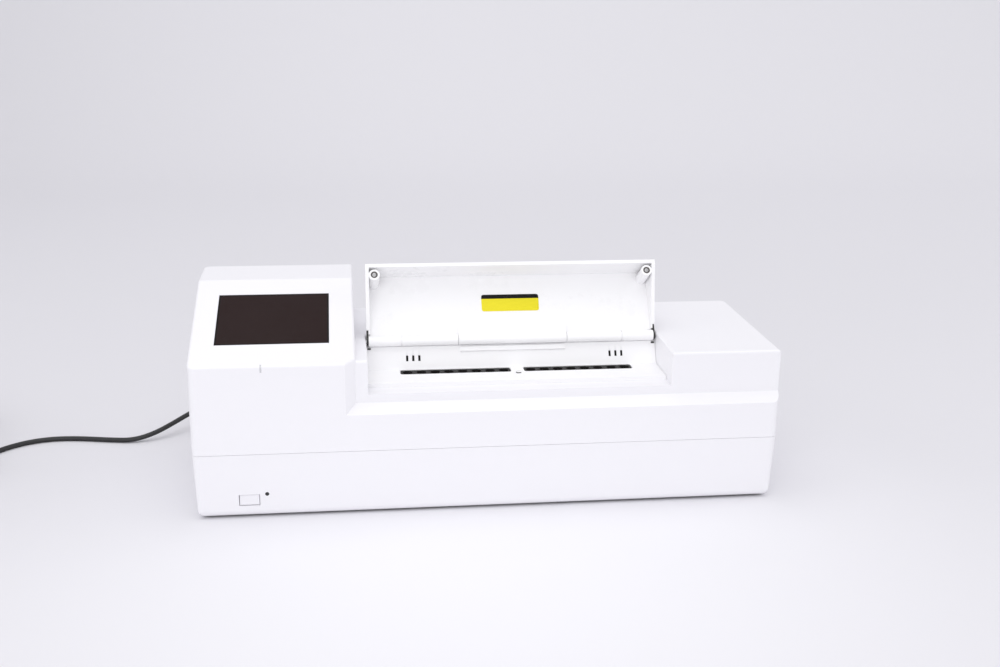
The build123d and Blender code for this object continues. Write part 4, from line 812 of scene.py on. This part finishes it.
glass = Finish("screen_glass")
from_middle_x = (glass.along((1, 0, 0)) - screen_middle.x).size()
from_middle_y = (glass.along(screen_up) - screen_middle.dot(screen_up)).size()
printed_border = glass.node(
    "ShaderNodeMath",
    {"operation": "MAXIMUM"},
    {0: from_middle_x > half_width, 1: from_middle_y > half_height},
)
haze = glass.noise(22.0, 3.0)
panel_brown = glass.blend(haze, (0.0125, 0.0028, 0.0022), (0.0155, 0.0040, 0.0032))
glass.set(Base_Color=glass.blend(printed_border, panel_brown, (0.003, 0.001, 0.001)))
glass.set(Roughness=0.13 + 0.10 * glass.noise(70.0, 4.0, 0.6))
glass.set(IOR=1.27)
screen_glass = glass.material

# %% [markdown]
# ## The sticker's print
# The sticker is yellow with a plain black band along its top. A dot product with the lid's upward direction
# tells how high on the sticker a point is, and everything above a set height is black.

# %% Sticker print
print_film = Finish("sticker_print")
band_height = 0.0029
height_on_sticker = print_film.along(lid_up) - sticker_middle.dot(lid_up)
band = height_on_sticker > sticker_half_height - band_height
ink = print_film.noise(1200.0, 2.0)
yellow = print_film.blend(ink, (0.840, 0.735, 0.022), (0.875, 0.770, 0.030))
print_film.set(Base_Color=print_film.blend(band, yellow, (0.004, 0.0035, 0.003)))
print_film.set(Roughness=0.46 + 0.08 * ink)
print_film.set(Specular_IOR_Level=0.2)
print_film.bump(ink, 0.000004)
sticker_print = print_film.material

# %% [markdown]
# ## Clear pieces, foil and boards
# The light bar is pale clear plastic and the small lens is nearly black. Each has a slow swirl of two close
# shades under a thin clear coat, and so have the heater foil and the display's ribbon. Circuit boards are
# green with a faint pattern of copper tracks under the lacquer, made from a stretched noise that is cut off
# at a height.

# %% Coated finishes
def coated(name, colour, gloss):
    finish = Finish(name)
    swirl = finish.noise(300.0, 2.0)
    finish.set(Base_Color=finish.blend(swirl, colour, tuple(channel * 0.9 for channel in colour)))
    finish.set(Roughness=gloss + 0.05 * swirl)
    finish.set(Coat_Weight=0.5)
    finish.set(Coat_Roughness=0.04)
    return finish.material


light_bar_clear = coated("light_bar_clear", (0.66, 0.66, 0.69), 0.20)
lens_dark = coated("lens_dark", (0.003, 0.003, 0.0035), 0.30)
heater_foil = coated("heater_foil", (0.46, 0.17, 0.03), 0.25)
ribbon_white = coated("ribbon_white", (0.72, 0.72, 0.70), 0.35)

# %% Circuit board lacquer
board = Finish("board_green")
track_stretch = (260.0, 900.0, 260.0)
track_cut = 0.55
pattern = board.node(
    "ShaderNodeTexNoise", None, {"Vector": board.place() * track_stretch, "Scale": 1.0, "Detail": 1.0}
)
tracks = pattern > track_cut
board.set(Base_Color=board.blend(tracks, (0.010, 0.090, 0.030), (0.030, 0.180, 0.060)))
board.set(Roughness=0.32 - 0.06 * tracks)
board.bump(tracks * 0.5, 0.00002)
board_green = board.material

# %% [markdown]
# ## Which piece wears which finish
# Every solid gets its finish here, and so do the pieces that this script made.

# %% Dress the solids and the pieces
wardrobe = {
    housing_white: ["upper_cover"],
    base_white: ["base_tray"],
    lid_white: ["lid_shell", "lid_hinge_cover"],
    deck_white: ["well_deck"],
    button_white: ["power_button"],
    foot_rubber: ["rubber_feet"],
    steel: ["hinge_pins", "catch_plates", "display_screws", "fan_screws", "board_standoffs", "optics_rail"],
    sheet_steel: [
        "display_module", "display_straps", "rail_beam", "rail_legs", "idler_bracket", "motor_bracket",
    ],
    aluminium: ["drive_pulley", "idler_pulley"],
    dark_block: ["heater_block_left", "heater_block_right"],
    contact_metal: ["plug_barrel", "supply_blades"],
    screen_glass: ["touch_panel"],
    foam_black: ["display_gasket"],
    foam_grey: ["insulation_pads"],
    board_green: ["display_board", "button_board", "main_board", "optics_board", "block_sensors"],
    ribbon_white: ["display_ribbon"],
    light_bar_clear: ["status_light_bar"],
    lens_dark: ["lamp_lens", "optics_lens"],
    heater_foil: ["heater_mats"],
    carrier_grey: ["block_carrier", "carrier_legs"],
    # The hinge arms are black plastic; their dark line at each end of the hinge is partly painted shade, for
    # the gap there.
    black_plastic: [
        "hinge_arms", "optics_carriage", "home_sensor", "board_parts", "power_socket", "fan_frame",
        "fan_rotor",
    ],
    supply_plastic: ["supply_body"],
    belt_rubber: ["drive_belt"],
    motor_black: ["stepper_motor"],
    wire_skin: ["wire_harness"],
}
for material, names in wardrobe.items():
    for name in names:
        solids[name].data.materials.clear()
        solids[name].data.materials.append(material)

made_pieces = {
    "power_lead": lead_rubber, "plug_moulding": grip_rubber, "supply_sleeve": grip_rubber,
    "lid_sticker": sticker_print, "deck_cross_screw": screw_white, "base_cross_screws": steel,
    "magnet_rings": magnet_metal, "magnet_screws": steel, "hinge_stop_left": black_plastic,
    "hinge_stop_right": black_plastic, "slit_shade_left": slit_shade_black, "slit_shade_right": slit_shade_black,
}
for name, material in made_pieces.items():
    bpy.data.objects[name].data.materials.append(material)
dressed = {name for names in wardrobe.values() for name in names}
print("solids without a finish:", sorted(set(solids) - dressed))

# %% [markdown]
# ## Table and backdrop
# The analyzer stands on a white sweep: a table that curves up into a wall, so that no edge shows behind it.
# It is one strip of faces that follows a line, a quarter circle and another line.
# The sweep's colour carries painted light and shade: a pool of light in front of the analyzer, grey away from
# it, darker still to the left and a little lighter up the back wall.

# %% The sweep
sweep_front, bend_start, bend_radius, wall_height = -2.2, 1.10, 0.9, 3.2
flat_steps, bend_steps = 6, 16
profile = [(sweep_front, 0.0)]
profile += [(bend_start * step / flat_steps, 0.0) for step in range(flat_steps + 1)]
for step in range(1, bend_steps + 1):
    angle = math.pi / 2 * step / bend_steps
    profile.append((bend_start + bend_radius * math.sin(angle), bend_radius * (1 - math.cos(angle))))
profile.append((bend_start + bend_radius, wall_height))
half_sweep = 4.0
corners = [(x, y, z) for y, z in profile for x in (-half_sweep, half_sweep)]
faces = [(2 * i, 2 * i + 1, 2 * i + 3, 2 * i + 2) for i in range(len(profile) - 1)]
sweep_mesh = bpy.data.meshes.new("sweep")
sweep_mesh.from_pydata(corners, [], faces)
sweep_mesh.shade_smooth()
sweep = bpy.data.objects.new("sweep", sweep_mesh)
bpy.context.scene.collection.objects.link(sweep)
print("sweep:", len(faces), "faces")

# %% The sweep's paper, with painted light and shade
paper = Finish("sweep_paper")
painted_light_centre = (-0.02, -0.16, 0.0)
depth_counts_more = (1.0, 1.15, 1.0)
offset = (paper.place() - painted_light_centre) * depth_counts_more
distance = paper.node("ShaderNodeVectorMath", {"operation": "LENGTH"}, {0: offset}, "Value")
# A painted pool of light round that centre.
near = paper.fade(distance, 0.0, 0.42, 1.0, 0.0)
to_the_left = paper.fade(paper.along((1, 0, 0)), -1.4, 0.2, 1.0, 0.0)
to_the_back = paper.fade(paper.along((0, 1, 0)), 0.25, 1.4, 0.0, 1.0)
# Painted shade that greys the sweep to the left, and painted light a little up the back wall.
painted_falloff_grey = paper.blend(to_the_back, (0.762, 0.755, 0.788), (0.840, 0.833, 0.866))
painted_falloff_grey = paper.blend(to_the_left, painted_falloff_grey, (0.705, 0.698, 0.732))
paper.set(Base_Color=paper.blend(near, painted_falloff_grey, (0.890, 0.883, 0.920)))
paper.set(Roughness=0.9 - 0.1 * paper.noise(400.0))
paper.set(Specular_IOR_Level=0.2)
sweep_mesh.materials.append(paper.material)

# %% [markdown]
# ## Light
# The photograph has soft, almost shadowless light from all round, a little stronger from above and in front.
# The world gives the even part, and four large area lamps give the rest.
# Together they light a surface so that its colour comes out about as it is written.

# %% World and lamps
world = bpy.data.worlds.new("studio")
bpy.context.scene.world = world
world.use_nodes = True
background = world.node_tree.nodes["Background"]
background.inputs["Color"].default_value = (0.98, 0.98, 1.0, 1)
background.inputs["Strength"].default_value = 0.76


def softbox(name, place, target, size, power):
    lamp = bpy.data.lights.new(name, "AREA")
    lamp.shape = "RECTANGLE"
    lamp.size, lamp.size_y = size
    lamp.energy = power
    piece = bpy.data.objects.new(name, lamp)
    direction = Vector(target) - Vector(place)
    piece.matrix_world = Matrix.Translation(place) @ direction.to_track_quat("-Z", "Y").to_matrix().to_4x4()
    bpy.context.scene.collection.objects.link(piece)
    print(name, power, "W")


softbox("overhead_box", (-0.15, -0.15, 1.7), (0, 0, 0), (1.8, 1.4), 8.0)
softbox("front_box", (-0.5, -2.0, 0.9), (0, 0, 0.08), (1.8, 1.4), 10.0)
softbox("left_box", (-1.8, -0.5, 0.9), (0, 0, 0.08), (1.2, 1.0), 2.0)
softbox("right_box", (1.9, 0.15, 0.9), (0, 0, 0.08), (1.2, 1.0), 3.5)

bpy.context.scene.view_settings.view_transform = "Standard"
